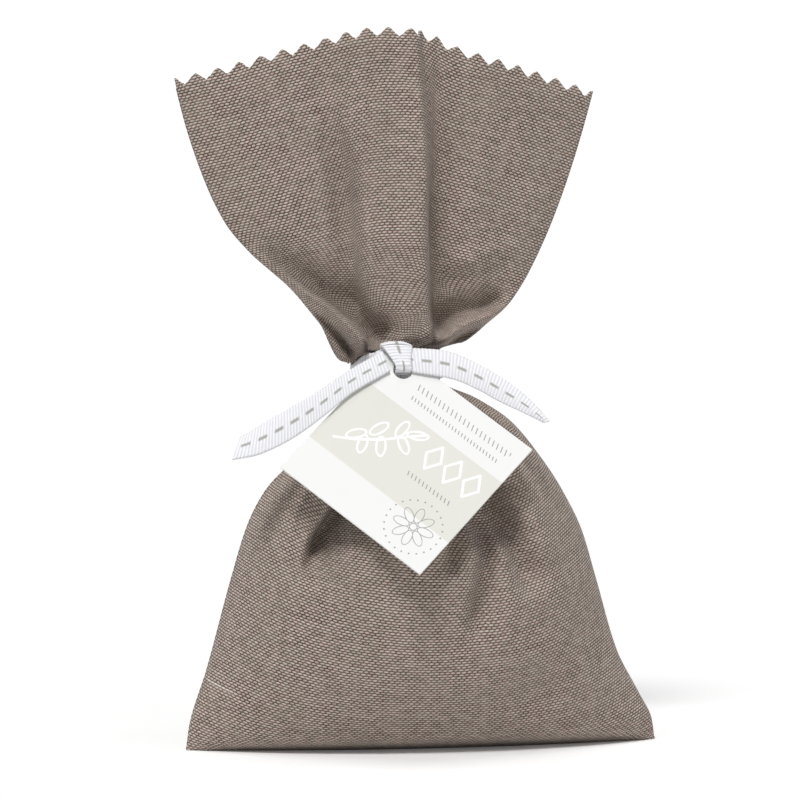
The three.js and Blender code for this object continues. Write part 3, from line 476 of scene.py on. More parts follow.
@dataclass(frozen=True)
class Pouch:
    """The pouch's two cloth panels with their side and base seams. Sizes are in millimetres."""

    cloth: float = 0.5
    panel_width: float = 111.0
    foot_depth: float = 11.0
    foot_round: float = 3.6
    belly_height: float = 89.6
    belly_depths: tuple[float, float] = (31.0, 29.0)
    neck_size: tuple[float, float] = (20.0, 15.0)
    neck_offset: float = -6.2
    neck_height: float = 7.0
    neck_sags: tuple[float, float] = (2.9, 0.9)
    flare_height: float = 76.6
    flare_reaches: tuple[float, float] = (60.5, 43.5)
    flare_depth: float = 6.5
    fold_depth: float = 5.0
    fold_lean: float = 0.05
    back_top_drop: float = 2.2
    seam_gap: float = 0.55
    seam_bow: float = 5.0
    seam_width: float = 5.0
    seam_thickness: float = 0.5
    seam_lap: float = 0.36
    weave_top: float = 200.0
    teeth: int = 21
    tooth_columns: int = 10
    tooth_depth: float = 2.0
    left_belly: Curve = (
        (0, 1), (0.066, 0.985), (0.204, 0.915), (0.448, 0.807), (0.58, 0.74), (0.667, 0.665),
        (0.733, 0.562), (0.799, 0.435), (0.865, 0.335),
    )
    right_belly: Curve = (
        (0, 1), (0.056, 0.987), (0.122, 0.933), (0.239, 0.834), (0.433, 0.74), (0.56, 0.677),
        (0.672, 0.584), (0.748, 0.5), (0.845, 0.367), (0.911, 0.22),
    )
    left_flare: Curve = (
        (0.07, 0.352), (0.114, 0.4), (0.217, 0.51), (0.329, 0.67), (0.413, 0.76), (0.54, 0.84),
        (0.726, 0.92), (1, 1),
    )
    right_flare: Curve = (
        (0.07, 0.235), (0.114, 0.35), (0.182, 0.48), (0.329, 0.63), (0.54, 0.78), (0.804, 0.92), (1, 1),
    )
    belly_wall: Curve = (
        (0.02, 0.46), (0.061, 0.58), (0.122, 0.7), (0.224, 0.85), (0.366, 0.97), (0.489, 1),
        (0.611, 0.97), (0.692, 0.9), (0.753, 0.82), (0.814, 0.7), (0.886, 0.5),
    )
    top_edge: Curve = (
        (-1, 0.848), (-0.75, 0.887), (-0.4, 0.951), (-0.05, 1), (0.12, 0.995), (0.3, 0.946),
        (0.65, 0.883), (1, 0.819),
    )

    @property
    def neck_low(self) -> float:
        """Height where the neck starts."""
        return self.belly_height - self.neck_height / 2

    @property
    def neck_high(self) -> float:
        """Height where the neck ends."""
        return self.belly_height + self.neck_height / 2

    def reach(self, side: int, height: np.ndarray) -> np.ndarray:
        """Gives the outline's distance from the middle plane.

        Args:
            side: -1 for the left and 1 for the right.
            height: Heights above the floor.

        Returns:
            Distances, above zero.
        """
        belly = self.left_belly if side < 0 else self.right_belly
        flare = self.left_flare if side < 0 else self.right_flare
        spread = self.flare_reaches[0 if side < 0 else 1]
        neck = self.neck_size[0] / 2 + side * self.neck_offset
        points = [(h * self.belly_height, w * self.panel_width / 2) for h, w in belly]
        points += [(self.neck_low, neck), (self.neck_high - (0.6 if side < 0 else 0), neck)]
        points += [(self.neck_high + 0.3, neck + 3.2)] if side < 0 else []
        points += [(self.belly_height + h * self.flare_height, w * spread) for h, w in flare]
        return curve_through(points, height)

    def wall_depth(self, side: Side, height: np.ndarray) -> np.ndarray:
        """Gives the greatest depth of a panel's wall at each height.

        Args:
            side: The panel's side.
            height: Heights above the floor.

        Returns:
            Depths, above zero.
        """
        belly = self.belly_depths[0 if side is Side.FRONT else 1]
        neck = self.neck_size[1] / 2
        points = [(0, self.foot_depth)] + [(h * self.belly_height, d * belly) for h, d in self.belly_wall]
        points += [(self.neck_low, neck), (self.neck_high, neck)]
        points += [(self.belly_height + 0.25 * self.flare_height, self.flare_depth)]
        points += [(self.belly_height + self.flare_height, self.flare_depth)]
        return curve_through(points, height)

    def lens(self, across: np.ndarray, height: np.ndarray) -> np.ndarray:
        """Gives the section's depth as a share: rounded at the belly, flat in the flare.

        Args:
            across: Places across the panel, from -1 to 1.
            height: Heights above the floor.

        Returns:
            Shares from 0 to 1.
        """
        a = np.clip(np.abs(across), 0, 1)
        belly = (1 - a**2.1) ** 0.7
        neck = np.sqrt(1 - a * a)
        fan = (1 - a**2.4) ** 0.8
        near = smooth_step(0.6 * self.belly_height, self.neck_low, height)
        open_share = smooth_step(self.neck_high, self.neck_high + 0.25 * self.flare_height, height)
        return mix(mix(belly, neck, near), fan, open_share)

    def gathers(self, side: Side, across: np.ndarray, height: np.ndarray) -> tuple[np.ndarray, np.ndarray]:
        """Gives the small pleats that the tie presses into the cloth.

        Args:
            side: The panel's side.
            across: Places across the panel, from -1 to 1.
            height: Heights above the floor.

        Returns:
            How far they move the cloth, and how much spare cloth they take up.
        """
        column = np.arcsin(np.clip(across, -1, 1)) * 2 / math.pi
        start = 0.4 if side is Side.FRONT else 1.7
        phase = 8 * math.pi * column + 1.2 * np.sin(3.4 * column + start) + start
        wave = 0.75 * np.cos(phase) + 0.25 * np.cos(2.3 * phase + 1)
        below = smooth_step(0.66 * self.belly_height, 0.9 * self.belly_height, height)
        below *= 1 - smooth_step(self.neck_low - 4, self.neck_low, height)
        above = smooth_step(self.neck_high, self.neck_high + 3, height)
        above *= 1 - smooth_step(self.neck_high + 3, self.neck_high + 24, height)
        inside = smooth_step(self.neck_low - 4, self.neck_low, height)
        inside *= 1 - smooth_step(self.neck_high, self.neck_high + 3, height)
        above *= 0.35 if side is Side.FRONT else 1
        edge = 1 - across**6
        move = (1.3 * below + 1.2 * above) * wave + 0.7 * inside * (wave - 1)
        share = np.clip(0.5 - 0.6 * wave, 0, 1) ** 6
        gathered = smooth_step(0.55 * self.belly_height, self.neck_low, height)
        gathered = gathered - smooth_step(self.neck_high, self.neck_high + 30, height)
        part = 1.0
        if side is Side.FRONT:
            part = mix(0.6, 0.05, smooth_step(self.neck_high, self.neck_high + 2, height))
        taken = share * gathered * part
        return move * edge, taken

    def seam_line(self, across: np.ndarray) -> np.ndarray:
        """Gives the depth of the base seam, which bows back between the side seams."""
        return self.seam_bow * (1 - np.clip(np.abs(across), 0, 1) ** 2) ** 2

    def swells(self, x: np.ndarray, z: np.ndarray) -> np.ndarray:
        """Gives the slight unevenness of hand-filled cloth.

        Args:
            x: Places across the panel.
            z: Heights above the floor.

        Returns:
            How far each place swells.
        """
        rng = np.random.default_rng(11)
        total = np.zeros(np.shape(x))
        for wave in (9, 11, 14, 17, 21, 26):
            angle, phase = rng.uniform(0, math.pi), rng.uniform(0, 2 * math.pi)
            total += wave / 26 * np.sin(
                2 * math.pi / wave * (x * math.cos(angle) + z * math.sin(angle)) + phase
            )
        return 0.09 * total

    def wall(self, side: Side, across: np.ndarray, height: np.ndarray) -> tuple[np.ndarray, np.ndarray]:
        """Places the outside of a panel.

        Args:
            side: The panel's side.
            across: Places across the panel, from -1 to 1.
            height: Heights above the floor.

        Returns:
            The places, and how much spare cloth each one takes up.
        """
        left, right = -self.reach(-1, height), self.reach(1, height)
        x = mix(left, right, (across + 1) / 2)
        depth = self.seam_gap + (self.wall_depth(side, height) - self.seam_gap) * self.lens(across, height)
        move, taken = self.gathers(side, across, height)
        depth = depth + move
        grown = smooth_step(self.neck_high, self.belly_height + 0.4 * self.flare_height, height)
        edge = 1 - across**6
        if side is Side.FRONT:
            lean = self.fold_lean * np.maximum(height - self.neck_high, 0)
            middle = (x - self.neck_offset + lean) / self.neck_size[0]
            foot = smooth_step(-0.75, -0.35, middle) * (1 - smooth_step(0.3, 0.44, middle))
            column = foot * (1 - 0.6 * middle * middle)
            wing = 0.35 * np.sin(math.pi * np.minimum(np.abs(across) / 0.8, 1)) ** 2
            depth = depth + self.fold_depth * grown * (column + wing) * edge
            folds = FRONT_BELLY_FOLDS + FRONT_FLARE_FOLDS
            rim = 1 - across**14
        else:
            wave = 1 + np.cos(3 * math.pi * across + 0.6)
            depth = depth + 0.4 * self.fold_depth * grown * wave * (1 - across**4)
            folds = BACK_FOLDS
            rim = edge
        fallen = self.sunk(x, height)
        clear = 1 - smooth_step(self.neck_low - 5, self.neck_low - 0.5, height)
        clear = clear + smooth_step(self.neck_high - 0.3, self.neck_high + 2.6, height)
        for fold in folds:
            share, swallowed = fold.profile(x, fallen, self.belly_height)
            depth = depth + fold.rise * share * rim * clear
            taken = taken + fold.tuck * swallowed
        loose = 1 - smooth_step(self.neck_low - 6, self.neck_low, height)
        loose = loose + smooth_step(self.neck_high, self.neck_high + 6, height)
        free = edge * smooth_step(0, 12, height) * loose
        tucked = self.foot_round * np.clip(1 - height / 4.2, 0, 1) ** 2 * edge
        depth = np.maximum(depth - tucked + self.swells(x, height) * free, self.seam_gap)
        return np.stack([x, side.value * depth, height], axis=-1), taken

    def sunk(self, x: np.ndarray, z: np.ndarray) -> np.ndarray:
        """Gives the height to which the neck's ends drop, as the tie sits on the real one.

        Args:
            x: Places across the panel.
            z: Heights above the floor.

        Returns:
            The heights after the drop.
        """
        drop = self.neck_sags[0] * np.clip((-4 - x) / 12.8, 0, 1) ** 8 + self.neck_sags[1]
        near = smooth_step(74, 86, z) * (1 - smooth_step(92.8, 98.5, z))
        return z - drop * near

    def sagged(self, places: np.ndarray) -> np.ndarray:
        """Drops places round the neck by the tie's sag."""
        return np.stack([places[..., 0], places[..., 1], self.sunk(places[..., 0], places[..., 2])], axis=-1)

    def heights(self) -> np.ndarray:
        """Lists the rows of the belly and the neck, from the floor up.

        Returns:
            Their heights.
        """
        foot = np.array([0, 0.35, 0.8, 1.4, 2.1])
        belly = np.linspace(2.9, self.neck_low - 6, 74)
        neck = np.linspace(self.neck_low - 5.3, self.neck_high, 18)
        return np.concatenate([foot, belly, neck])

    def panel_net(self, side: Side) -> tuple[np.ndarray, np.ndarray]:
        """Lays out one panel from the base seam to the pinked edge.

        The cloth keeps its width in every row: what the outline leaves no room for goes into the
        folds, so the weave keeps its scale.

        Args:
            side: The panel's side.

        Returns:
            Rows of places on the outside, and their places on the flat cloth.
        """
        columns = self.teeth * self.tooth_columns + 1
        dense = np.sin(np.linspace(-1, 1, 901) * math.pi / 2)
        cut = np.linspace(0, self.panel_width, columns)
        flat_rows = self.heights()
        shares = np.linspace(0, 1, 107)[1:] ** 1.25

        def row_height(across: np.ndarray, level: int) -> np.ndarray:
            """Gives the heights along one row.

            Args:
                across: Places across the panel, from -1 to 1.
                level: The row, counted from the floor.

            Returns:
                The height at each place.
            """
            if level < len(flat_rows):
                return np.full(np.shape(across), flat_rows[level])
            top = self.belly_height + curve_through(self.top_edge, across) * self.flare_height
            top = top - self.back_top_drop if side is Side.BACK else top
            return mix(self.neck_high, top, shares[level - len(flat_rows)])

        count = len(flat_rows) + len(shares)
        grid = np.array([row_height(dense, level) for level in range(count)])
        places, taken = self.wall(side, np.broadcast_to(dense, grid.shape), grid)
        step = np.linalg.norm(np.diff(places, axis=1), axis=2)
        weight = 0.003 + np.clip((taken[:, 1:] + taken[:, :-1]) / 2, 0, None)
        spare = np.maximum(self.panel_width - step.sum(1), 0) / (step * weight).sum(1)
        way = np.pad(np.cumsum(step * (1 + spare[:, None] * weight), axis=1), [(0, 0), (1, 0)])
        way *= self.panel_width / way[:, -1:]
        across = np.array([np.interp(cut, line, dense) for line in way])
        across = blurred(across, 3)
        kernel = np.hanning(25) / np.hanning(25).sum()
        across = np.array([np.convolve(np.pad(line, 12, "edge"), kernel, "valid") for line in across.T]).T
        across[:, 0], across[:, -1] = -1, 1
        height = np.array([row_height(line, level) for level, line in enumerate(across)])
        net, _ = self.wall(side, across, height)

        first = net[0]
        seam_depth = self.seam_line(across[0]) + side.value * self.seam_gap
        seam = np.stack([first[:, 0], seam_depth, 0 * first[:, 0]], axis=-1)
        foot = [mix(seam, first, share) for share in (0, 0.2, 0.4, 0.6, 0.8, 0.93)]
        net = np.concatenate([np.array(foot), net])

        net = self.sagged(net)
        up = arc_length(net, 0)
        up = up - 0.7 * up[len(foot)]
        kernel = np.hanning(39) / np.hanning(39).sum()
        longer = [np.pad(line, 19, "reflect", reflect_type="odd") for line in up]
        up = np.array([np.convolve(line, kernel, "valid") for line in longer])
        low = len(foot) + int(np.searchsorted(flat_rows, self.neck_low))
        high = len(foot) + len(flat_rows) - 1
        top = self.weave_top - (up[-1] - up)
        share = np.clip((np.arange(len(net)) - low) / (high - low), 0, 1)[:, None]
        up = np.where(share <= 0, up, np.where(share >= 1, top, mix(up[low], top[high], share)))
        tooth = np.abs((cut / self.panel_width * self.teeth + 0.5) % 1 - 0.5) * 2
        tooth = mix(tooth, smooth_step(0, 1, tooth), 0.5)
        rng = np.random.default_rng(5 + side.value)
        notch = self.tooth_depth * tooth + rng.normal(0, 0.07, columns)
        reach = smooth_step(0.93, 1, (np.arange(len(net)) - high) / (len(net) - 1 - high))
        drop = reach[:, None] * np.clip(notch, 0, None)[None]
        net[..., 2] -= drop
        up = up - drop
        return net, np.stack([np.broadcast_to(cut, up.shape), up], axis=-1)

    def panel(self, side: Side) -> bpy.types.Object:
        """Builds one panel as a closed sheet of cloth.

        Args:
            side: The panel's side.

        Returns:
            The panel.
        """
        outer, uv = self.panel_net(side)
        normal = net_normals(blurred(outer, 2)) * -side.value
        normal = normal if side is Side.FRONT else -normal
        facing = np.sign(normal[..., 1:2]) * side.value
        normal = np.where(facing < 0, -normal, normal)
        inner = outer - self.cloth * normal
        depth = np.maximum(side.value * inner[..., 1], self.seam_gap - 0.25)
        depth = np.minimum(depth, side.value * outer[..., 1] - 0.06)
        high = inner[..., 2] > 0.9
        inner[..., 1] = np.where(high, side.value * depth, inner[..., 1])
        inner[..., 2] = np.maximum(inner[..., 2], self.cloth)
        name = "front_panel_cloth" if side is Side.FRONT else "back_panel_cloth"
        return sheet_mesh(name, outer, inner, uv, side is Side.BACK)

    def side_seam(self, side: int) -> list[bpy.types.Object]:
        """Builds the two seam allowances of one side, laid together, with their overedge thread.

        Args:
            side: -1 for the left and 1 for the right.

        Returns:
            The cloth strip and the thread.
        """
        top = self.belly_height + curve_through(self.top_edge, np.array(float(side))) * self.flare_height
        top = top - self.back_top_drop - self.tooth_depth
        height = np.concatenate(
            [np.linspace(0.8, self.neck_high, 70), np.linspace(self.neck_high, top, 60)[1:]]
        )
        outer = side * (self.reach(side, height) - 0.3)
        inner = outer - side * self.seam_width
        half = 0 * height - self.seam_thickness / 2
        strips = [np.stack([mix(outer, inner, t), half, height], -1) for t in np.linspace(0, 1, 7)]
        net = np.stack(strips, axis=1)
        other = net + (0, self.seam_thickness, 0)
        uv = np.stack(
            [np.broadcast_to(np.linspace(0, self.seam_width, 7), net.shape[:2]), arc_length(net, 0)], -1
        )
        word = "left" if side < 0 else "right"
        strip = sheet_mesh(f"side_seam_{word}_cloth", self.sagged(net), self.sagged(other), uv, side > 0)
        turns = 52
        t = np.linspace(0, 1, turns * 12)
        z = mix(2.0, top - 1, t)
        edge = np.interp(z, height, inner)
        angle = 2 * math.pi * turns * t
        line = np.stack([edge + side * (0.9 + 1.3 * np.cos(angle)), self.seam_lap * np.sin(angle), z], -1)
        thread = tube_mesh(f"side_seam_{word}_thread", self.sagged(line), 0.09, 6)
        return [strip, thread]

    def base_seam(self) -> list[bpy.types.Object]:
        """Builds the base seam's allowances and the thread that holds them.

        Returns:
            The cloth strip and the thread.
        """
        reach = self.panel_width / 2 - 6
        x = np.linspace(-reach, reach, 120)
        middle = self.seam_line(x / (self.panel_width / 2))
        rise = np.linspace(0.05, 2.3, 5)
        near = middle - self.seam_thickness / 2
        net = np.array([np.stack([x, near, 0 * x + z], -1) for z in rise])
        other = net + (0, self.seam_thickness, 0)
        uv = np.stack([np.broadcast_to(x, net.shape[:2]), np.broadcast_to(rise[:, None], net.shape[:2])], -1)
        strip = sheet_mesh("base_seam_cloth", net, other, uv, False)
        turns = 46
        t = np.linspace(0, 1, turns * 12)
        along = mix(-reach + 1, reach - 1, t)
        angle = 2 * math.pi * turns * t
        depth = np.interp(along, x, middle) + self.seam_lap * np.sin(angle)
        line = np.stack([along, depth, 1.75 + 0.45 * np.cos(angle)], -1)
        return [strip, tube_mesh("base_seam_thread", line, 0.08, 6)]

    def build(
        self, cloth: bpy.types.Material, lining: bpy.types.Material, thread: bpy.types.Material
    ) -> list[bpy.types.Object]:
        """Builds and dresses the pouch.

        Args:
            cloth: Finish of the panels.
            lining: Finish of the seam allowances.
            thread: Finish of the seams' thread.

        Returns:
            All its pieces.
        """
        front, back = self.panel(Side.FRONT), self.panel(Side.BACK)
        left, right, base = self.side_seam(-1), self.side_seam(1), self.base_seam()
        dressed = [(front, cloth, "linen", "front_panel"), (back, cloth, "linen", "back_panel")]
        dressed += [(left[0], lining, "seam", "side_seam_left"), (right[0], lining, "seam", "side_seam_right")]
        dressed += [(base[0], lining, "seam", "base_seam")]
        dressed += [(strand, thread, "seam", None) for strand in (left[1], right[1], base[1])]
        for piece, finish, slot, node in dressed:
            dress(piece, finish, "pouch", node)
        return [piece for piece, *_ in dressed]


def dress(piece: bpy.types.Object, finish: bpy.types.Material, body: str, node: str | None) -> None:
    """Gives a piece its finish and its place on the frame.

    Args:
        piece: The piece.
        finish: Its material.
        body: The body that it moves with.
        node: The CAD node that it stands for, if any.
    """
    piece.data.materials.append(finish)
    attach(piece, body)
    if node:
        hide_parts(node)


# The filling


@dataclass(frozen=True)
class Filling:
    """The inner bag and the granules in it. Sizes are in millimetres."""

    floor: float = 2.9
    height: float = 77.0
    wall: float = 0.4
    room: float = 1.8
    crease_rooms: tuple[float, float] = (9.6, 5.0)
    points: int = 160
    rows: int = 90

    def net(self, pouch: Pouch, inset: float, top: float, grains: float) -> np.ndarray:
        """Lays out a rounded body inside the pouch.

        Args:
            pouch: The pouch around it.
            inset: Distance within the inner bag's outside.
            top: Share of the bag's height where the body ends.
            grains: How far single granules press out of it.

        Returns:
            Rings of places from the bottom up.
        """
        share = np.linspace(0, top, self.rows)
        height = mix(self.floor + inset, self.height, share)
        turn = np.linspace(0, 2 * math.pi, self.points)
        bottom = mix(0.86, 1, np.clip(share / 0.17, 0, 1)) * np.sqrt(np.clip(share / 0.03, 0.12, 1))
        shrink = bottom * mix(1, 0.45, smooth_step(0.7, 1, share))
        left, right = pouch.reach(-1, height) - 6.1, pouch.reach(1, height) - 6.1
        half = (left + right) / 2 * shrink - inset
        rng = np.random.default_rng(3)
        pleats = 0.5 * np.cos(17 * turn) * smooth_step(0.75, 1, share)[:, None]
        bumps = grains * rng.random((self.rows, self.points))
        bumps[:, -1] = bumps[:, 0]
        net = np.zeros((self.rows, self.points, 3))
        for word, sign in ((Side.FRONT, -1), (Side.BACK, 1)):
            crease = self.crease_rooms[0 if word is Side.FRONT else 1]
            room = self.room + 2.2 + crease * smooth_step(0.18, 0.4, height / pouch.belly_height)
            depth = (pouch.wall_depth(word, height) - room) * shrink - inset
            mask = np.sign(np.sin(turn) + 1e-9) == sign
            swell = depth[:, None] * np.abs(np.sin(turn))[None] - bumps + pleats
            net[..., 1] = np.where(mask[None], sign * np.maximum(swell, 0.02), net[..., 1])
        net[..., 0] = ((right - left) / 2)[:, None] + (half[:, None] - bumps) * np.cos(turn)[None]
        net[..., 2] = height[:, None]
        return net

    def body(self, name: str, net: np.ndarray, inner: np.ndarray | None) -> bpy.types.Object:
        """Builds a closed body from rings, hollow where an inner net is given.

        Args:
            name: The object's name.
            net: Rings on the outside.
            inner: Rings on the inside, or None for a filled body.

        Returns:
            The new object.
        """
        rings = net if inner is None else np.concatenate([net, inner[::-1]])
        bm = bmesh.new()
        bmesh.ops.create_grid(bm, x_segments=rings.shape[1] - 1, y_segments=len(rings) - 1, size=1)
        for vertex, place in zip(bm.verts, (rings.reshape(-1, 3) * MM).tolist()):
            vertex.co = place
        bmesh.ops.remove_doubles(bm, verts=list(bm.verts), dist=2e-6)
        open_edges = [edge for edge in bm.edges if edge.is_boundary]
        bmesh.ops.holes_fill(bm, edges=open_edges, sides=0)
        bmesh.ops.triangulate(bm, faces=[face for face in bm.faces if len(face.verts) > 4])
        bmesh.ops.recalc_face_normals(bm, faces=list(bm.faces))
        return link_mesh(name, bm)

    def build(
        self, pouch: Pouch, fleece: bpy.types.Material, granules: bpy.types.Material
    ) -> list[bpy.types.Object]:
        """Builds and dresses the inner bag and its granules.

        Args:
            pouch: The pouch around them.
            fleece: Finish of the inner bag.
            granules: Finish of the granules.

        Returns:
            Both pieces.
        """
        outer = self.net(pouch, 0, 1, 0)
        bag = self.body("inner_bag_fleece", outer, self.net(pouch, self.wall, 1, 0))
        fill = self.body("scented_granules", self.net(pouch, self.wall + 0.6, 0.86, 0.9), None)
        dress(bag, fleece, "pouch", "inner_bag")
        dress(fill, granules, "pouch", "scented_fill")
        return [bag, fill]


# The ribbon


@dataclass(frozen=True)
class Tie:
    """The ribbon round the neck, its knot, its loop through the tag and its two tails.

    Places on the leaning plane of the tag are (u, v, n): across it, up it and out of its front.
    Sizes are in millimetres.
    """

    hole: tuple[float, float, float] = (-7.2, -14.4, 87.9)
    across: tuple[float, float, float] = (0.993572, -0.113203, 0.0)
    out: tuple[float, float, float] = TAG_OUT
    width: float = 6.35
    thickness: float = 0.36
    rib: float = 0.8
    columns: int = 15
    knot_height: float = 89.6
    knot_grain: float = 0.22

    def world(self, places: np.ndarray) -> np.ndarray:
        """Turns places on the tag's plane into places in the frame.

        Args:
            places: Places (u, v, n).

        Returns:
            The same places as (x, y, z).
        """
        u, n = np.array(self.across), np.array(self.out)
        v = np.cross(n, u)
        places = np.asarray(places, float)
        return np.array(self.hole) + places[..., :1] * u + places[..., 1:2] * v + places[..., 2:3] * n

    def strip(
        self,
        name: str,
        left: np.ndarray,
        right: np.ndarray,
        cup: np.ndarray,
        start: float,
        facing: tuple[float, float, float] | None = None,
        shift: np.ndarray | None = None,
    ) -> bpy.types.Object:
        """Builds a length of ribbon between two edges, with the small scallops of its ribs.

        Args:
            name: The object's name.
            left: Places along one edge.
            right: Places along the other edge.
            cup: How far the middle stands out of the edges' plane, one value a step and column.
            start: Where along the ribbon's pattern it starts.
            facing: A direction that its front faces.
            shift: A further move of each step and column.

        Returns:
            The new object.
        """
        t = np.linspace(0, 1, self.columns)
        middle = (left + right) / 2
        way = np.concatenate([[0], np.cumsum(np.linalg.norm(np.diff(middle, axis=0), axis=1))])
        scallop = 1 + 0.012 * np.cos(2 * math.pi * (way + start) / self.rib)
        left = middle + (left - middle) * scallop[:, None]
        right = middle + (right - middle) * scallop[:, None]
        net = left[:, None] + (right - left)[:, None] * t[None, :, None]
        net = net if shift is None else net + shift
        normal = net_normals(net)
        if facing is not None and np.mean(normal @ np.array(facing)) < 0:
            normal = -normal
        net = net + normal * cup[..., None]
        bent = net_normals(net)
        normal = np.where(np.sum(bent * normal, axis=2, keepdims=True) < 0, -1, 1) * bent
        span = np.linspace(-self.width / 2, self.width / 2, self.columns)
        along = np.broadcast_to((way + start)[:, None], net.shape[:2])
        uv = np.stack([along, np.broadcast_to(span, net.shape[:2])], -1)
        half = self.thickness / 2
        return sheet_mesh(name, net + normal * half, net - normal * half, uv, False)

    def tail(
        self,
        name: str,
        upper: Curve,
        lower: Curve,
        rises: tuple[tuple[float, ...], tuple[float, ...]],
        cup: float,
        start: float,
    ) -> bpy.types.Object:
        """Builds one free end of the ribbon.

        Args:
            name: The object's name.
            upper: Places (u, v) along its upper edge from the knot out.
            lower: Places (u, v) along its lower edge.
            rises: Heights n over the tag's plane at even steps, for the upper and lower edges.
            cup: How far its middle bows out.
            start: Where along the ribbon's pattern it starts.

        Returns:
            The new object.
        """
        steps = 220
        top, bottom = spline(upper, steps), spline(lower, steps)
        along = np.linspace(0, 1, steps)
        lifts = [np.interp(along, np.linspace(0, 1, len(rise)), rise) for rise in rises]
        kernel = np.hanning(41) / np.hanning(41).sum()
        lifts = [np.convolve(np.pad(lift, 20, "edge"), kernel, "valid") for lift in lifts]
        edges = [self.world(np.column_stack([edge, lift])) for edge, lift in zip((top, bottom), lifts)]
        t = np.linspace(0, 1, self.columns)
        bow = cup * (1 - (2 * t - 1) ** 2)[None] * np.ones((steps, 1))
        return self.strip(name, edges[0], edges[1], bow, start, self.out)

    def band(self, pouch: Pouch) -> bpy.types.Object:
        """Builds the turn round the neck, whose ends overlap behind the knot.

        Args:
            pouch: The pouch that it goes round.

        Returns:
            The new object.
        """
        steps = 300
        turn = np.linspace(-0.62 * math.pi, 1.46 * math.pi, steps)
        overlap = 0.42 * smooth_step(0.9, 1, np.linspace(0, 1, steps))
        side = np.sin(turn)
        flat = np.clip(side * 12, -1, 1) * 0.9
        reach = 0.56 + overlap
        x = pouch.neck_offset + (pouch.neck_size[0] / 2 + reach) * np.cos(turn)
        y = flat + (pouch.neck_size[1] / 2 + reach - 0.9) * side
        t = np.linspace(0, 1, self.columns)
        z = pouch.belly_height + 0.12 * np.sin(3 * turn + 1)
        low = np.column_stack([x, y, z - self.width / 2 + 0.1])
        high = np.column_stack([x, y, z + self.width / 2 - 0.1])
        bow = (0.1 * np.cos(2 * math.pi * t))[None] * np.ones((steps, 1))
        return self.strip("ribbon_band", pouch.sagged(low), pouch.sagged(high), bow, 1.0)

    def loop(self) -> bpy.types.Object:
        """Builds the loop that hangs over the tag's corner and through its hole.

        Returns:
            The new object.
        """
        radius, crown, layer, top, low = 1.3, 0.9, 0.4, 6.9, 0.85
        turn = np.linspace(-0.16, 1, 60) * math.pi
        above = np.column_stack([layer + radius * np.cos(turn), top - crown + crown * np.sin(turn)])[6:]
        turn = np.linspace(1, 2, 50) * math.pi
        under = np.column_stack([layer + radius * np.cos(turn), low + radius * np.sin(turn)])
        back = np.column_stack([np.full(30, layer - radius), np.linspace(top - crown - 0.2, low + 0.2, 30)])
        front = np.column_stack([np.full(40, layer + radius), np.linspace(low + 0.2, top - crown - 0.4, 40)])
        path = np.vstack([above, back, under, front])
        way = np.concatenate([[0], np.cumsum(np.linalg.norm(np.diff(path, axis=0), axis=1))])
        even = np.linspace(0, way[-1], 260)
        path = np.column_stack([np.interp(even, way, path[:, k]) for k in range(2)])
        share = np.clip(path[:, 1] / top, 0, 1)
        half = mix(1.84, 3.5, smooth_step(0.02, 0.92, share))
        centre = mix(0.1, -1.6, share)
        left = self.world(np.column_stack([centre - half, path[:, 1], path[:, 0]]))
        right = self.world(np.column_stack([centre + half, path[:, 1], path[:, 0]]))
        t = np.linspace(0, 1, self.columns)
        facing = smooth_step(layer, layer + radius, path[:, 0])
        pinch = (1 - share) * facing
        bow = 0.5 * pinch[:, None] * (1 - (2 * t - 1) ** 2)[None]
        crease = np.cos(2 * math.pi * (2.1 * t + 0.15 + 0.4 * share[:, None]))
        bow = bow + 0.14 * (facing * (0.3 + 0.7 * (1 - share)))[:, None] * crease
        middle = (left + right) / 2
        up = np.cross(np.array(self.out), np.array(self.across))
        round_edges = 0.7 * np.clip(1 - 2 * t, 0, 1) ** 2 + 1.0 * np.clip(2 * t - 1, 0, 1) ** 2.4
        fall = smooth_step(0.62, 1, share)[:, None] * round_edges[None]
        shift = -fall[..., None] * up
        cup = -bow * self.turned(middle, left, right)
        return self.strip("ribbon_loop", left, right, cup, 2.3, None, shift)

    def turned(self, middle: np.ndarray, left: np.ndarray, right: np.ndarray) -> float:
        """Tells which way the strip's own normal points on the loop's front.

        Args:
            middle: Places along the loop's middle.
            left: Places along its left edge.
            right: Places along its right edge.

        Returns:
            -1 where it points out of the tag's front, and 1 where it points back.
        """
        last = len(middle) - 20
        normal = np.cross(right[last] - left[last], middle[last + 1] - middle[last])
        return -1.0 if normal @ np.array(self.out) > 0 else 1.0

    def knot(self, frame: dict) -> bpy.types.Object:
        """Builds the knot as a soft lump in the room of its CAD solid.

        Args:
            frame: The loaded frame.

        Returns:
            The new object.
        """
        source = frame["nodes"]["ribbon_knot"]
        mesh = bpy.data.meshes.new_from_object(source)
        mesh.materials.clear()
        piece = bpy.data.objects.new("ribbon_knot_turns", mesh)
        bpy.context.scene.collection.objects.link(piece)
        remesh = piece.modifiers.new("even", "REMESH")
        remesh.mode, remesh.voxel_size = "VOXEL", self.knot_grain * MM
        soften = piece.modifiers.new("soften", "SMOOTH")
        soften.factor, soften.iterations = 0.5, 14
        graph = bpy.context.evaluated_depsgraph_get()
        shaped = bpy.data.meshes.new_from_object(piece.evaluated_get(graph))
        piece.modifiers.clear()
        piece.data = shaped
        bpy.data.meshes.remove(mesh)
        shaped.name = piece.name
        shaped.polygons.foreach_set("use_smooth", [True] * len(shaped.polygons))
        places = np.empty(len(shaped.vertices) * 3)
        shaped.vertices.foreach_get("co", places)
        places = places.reshape(-1, 3) / MM
        around = np.hypot(places[:, 1], places[:, 2] - self.knot_height)
        lay_uv(piece, np.column_stack([places[:, 2] * 1.4, places[:, 0] + around * 0.02]))
        return piece

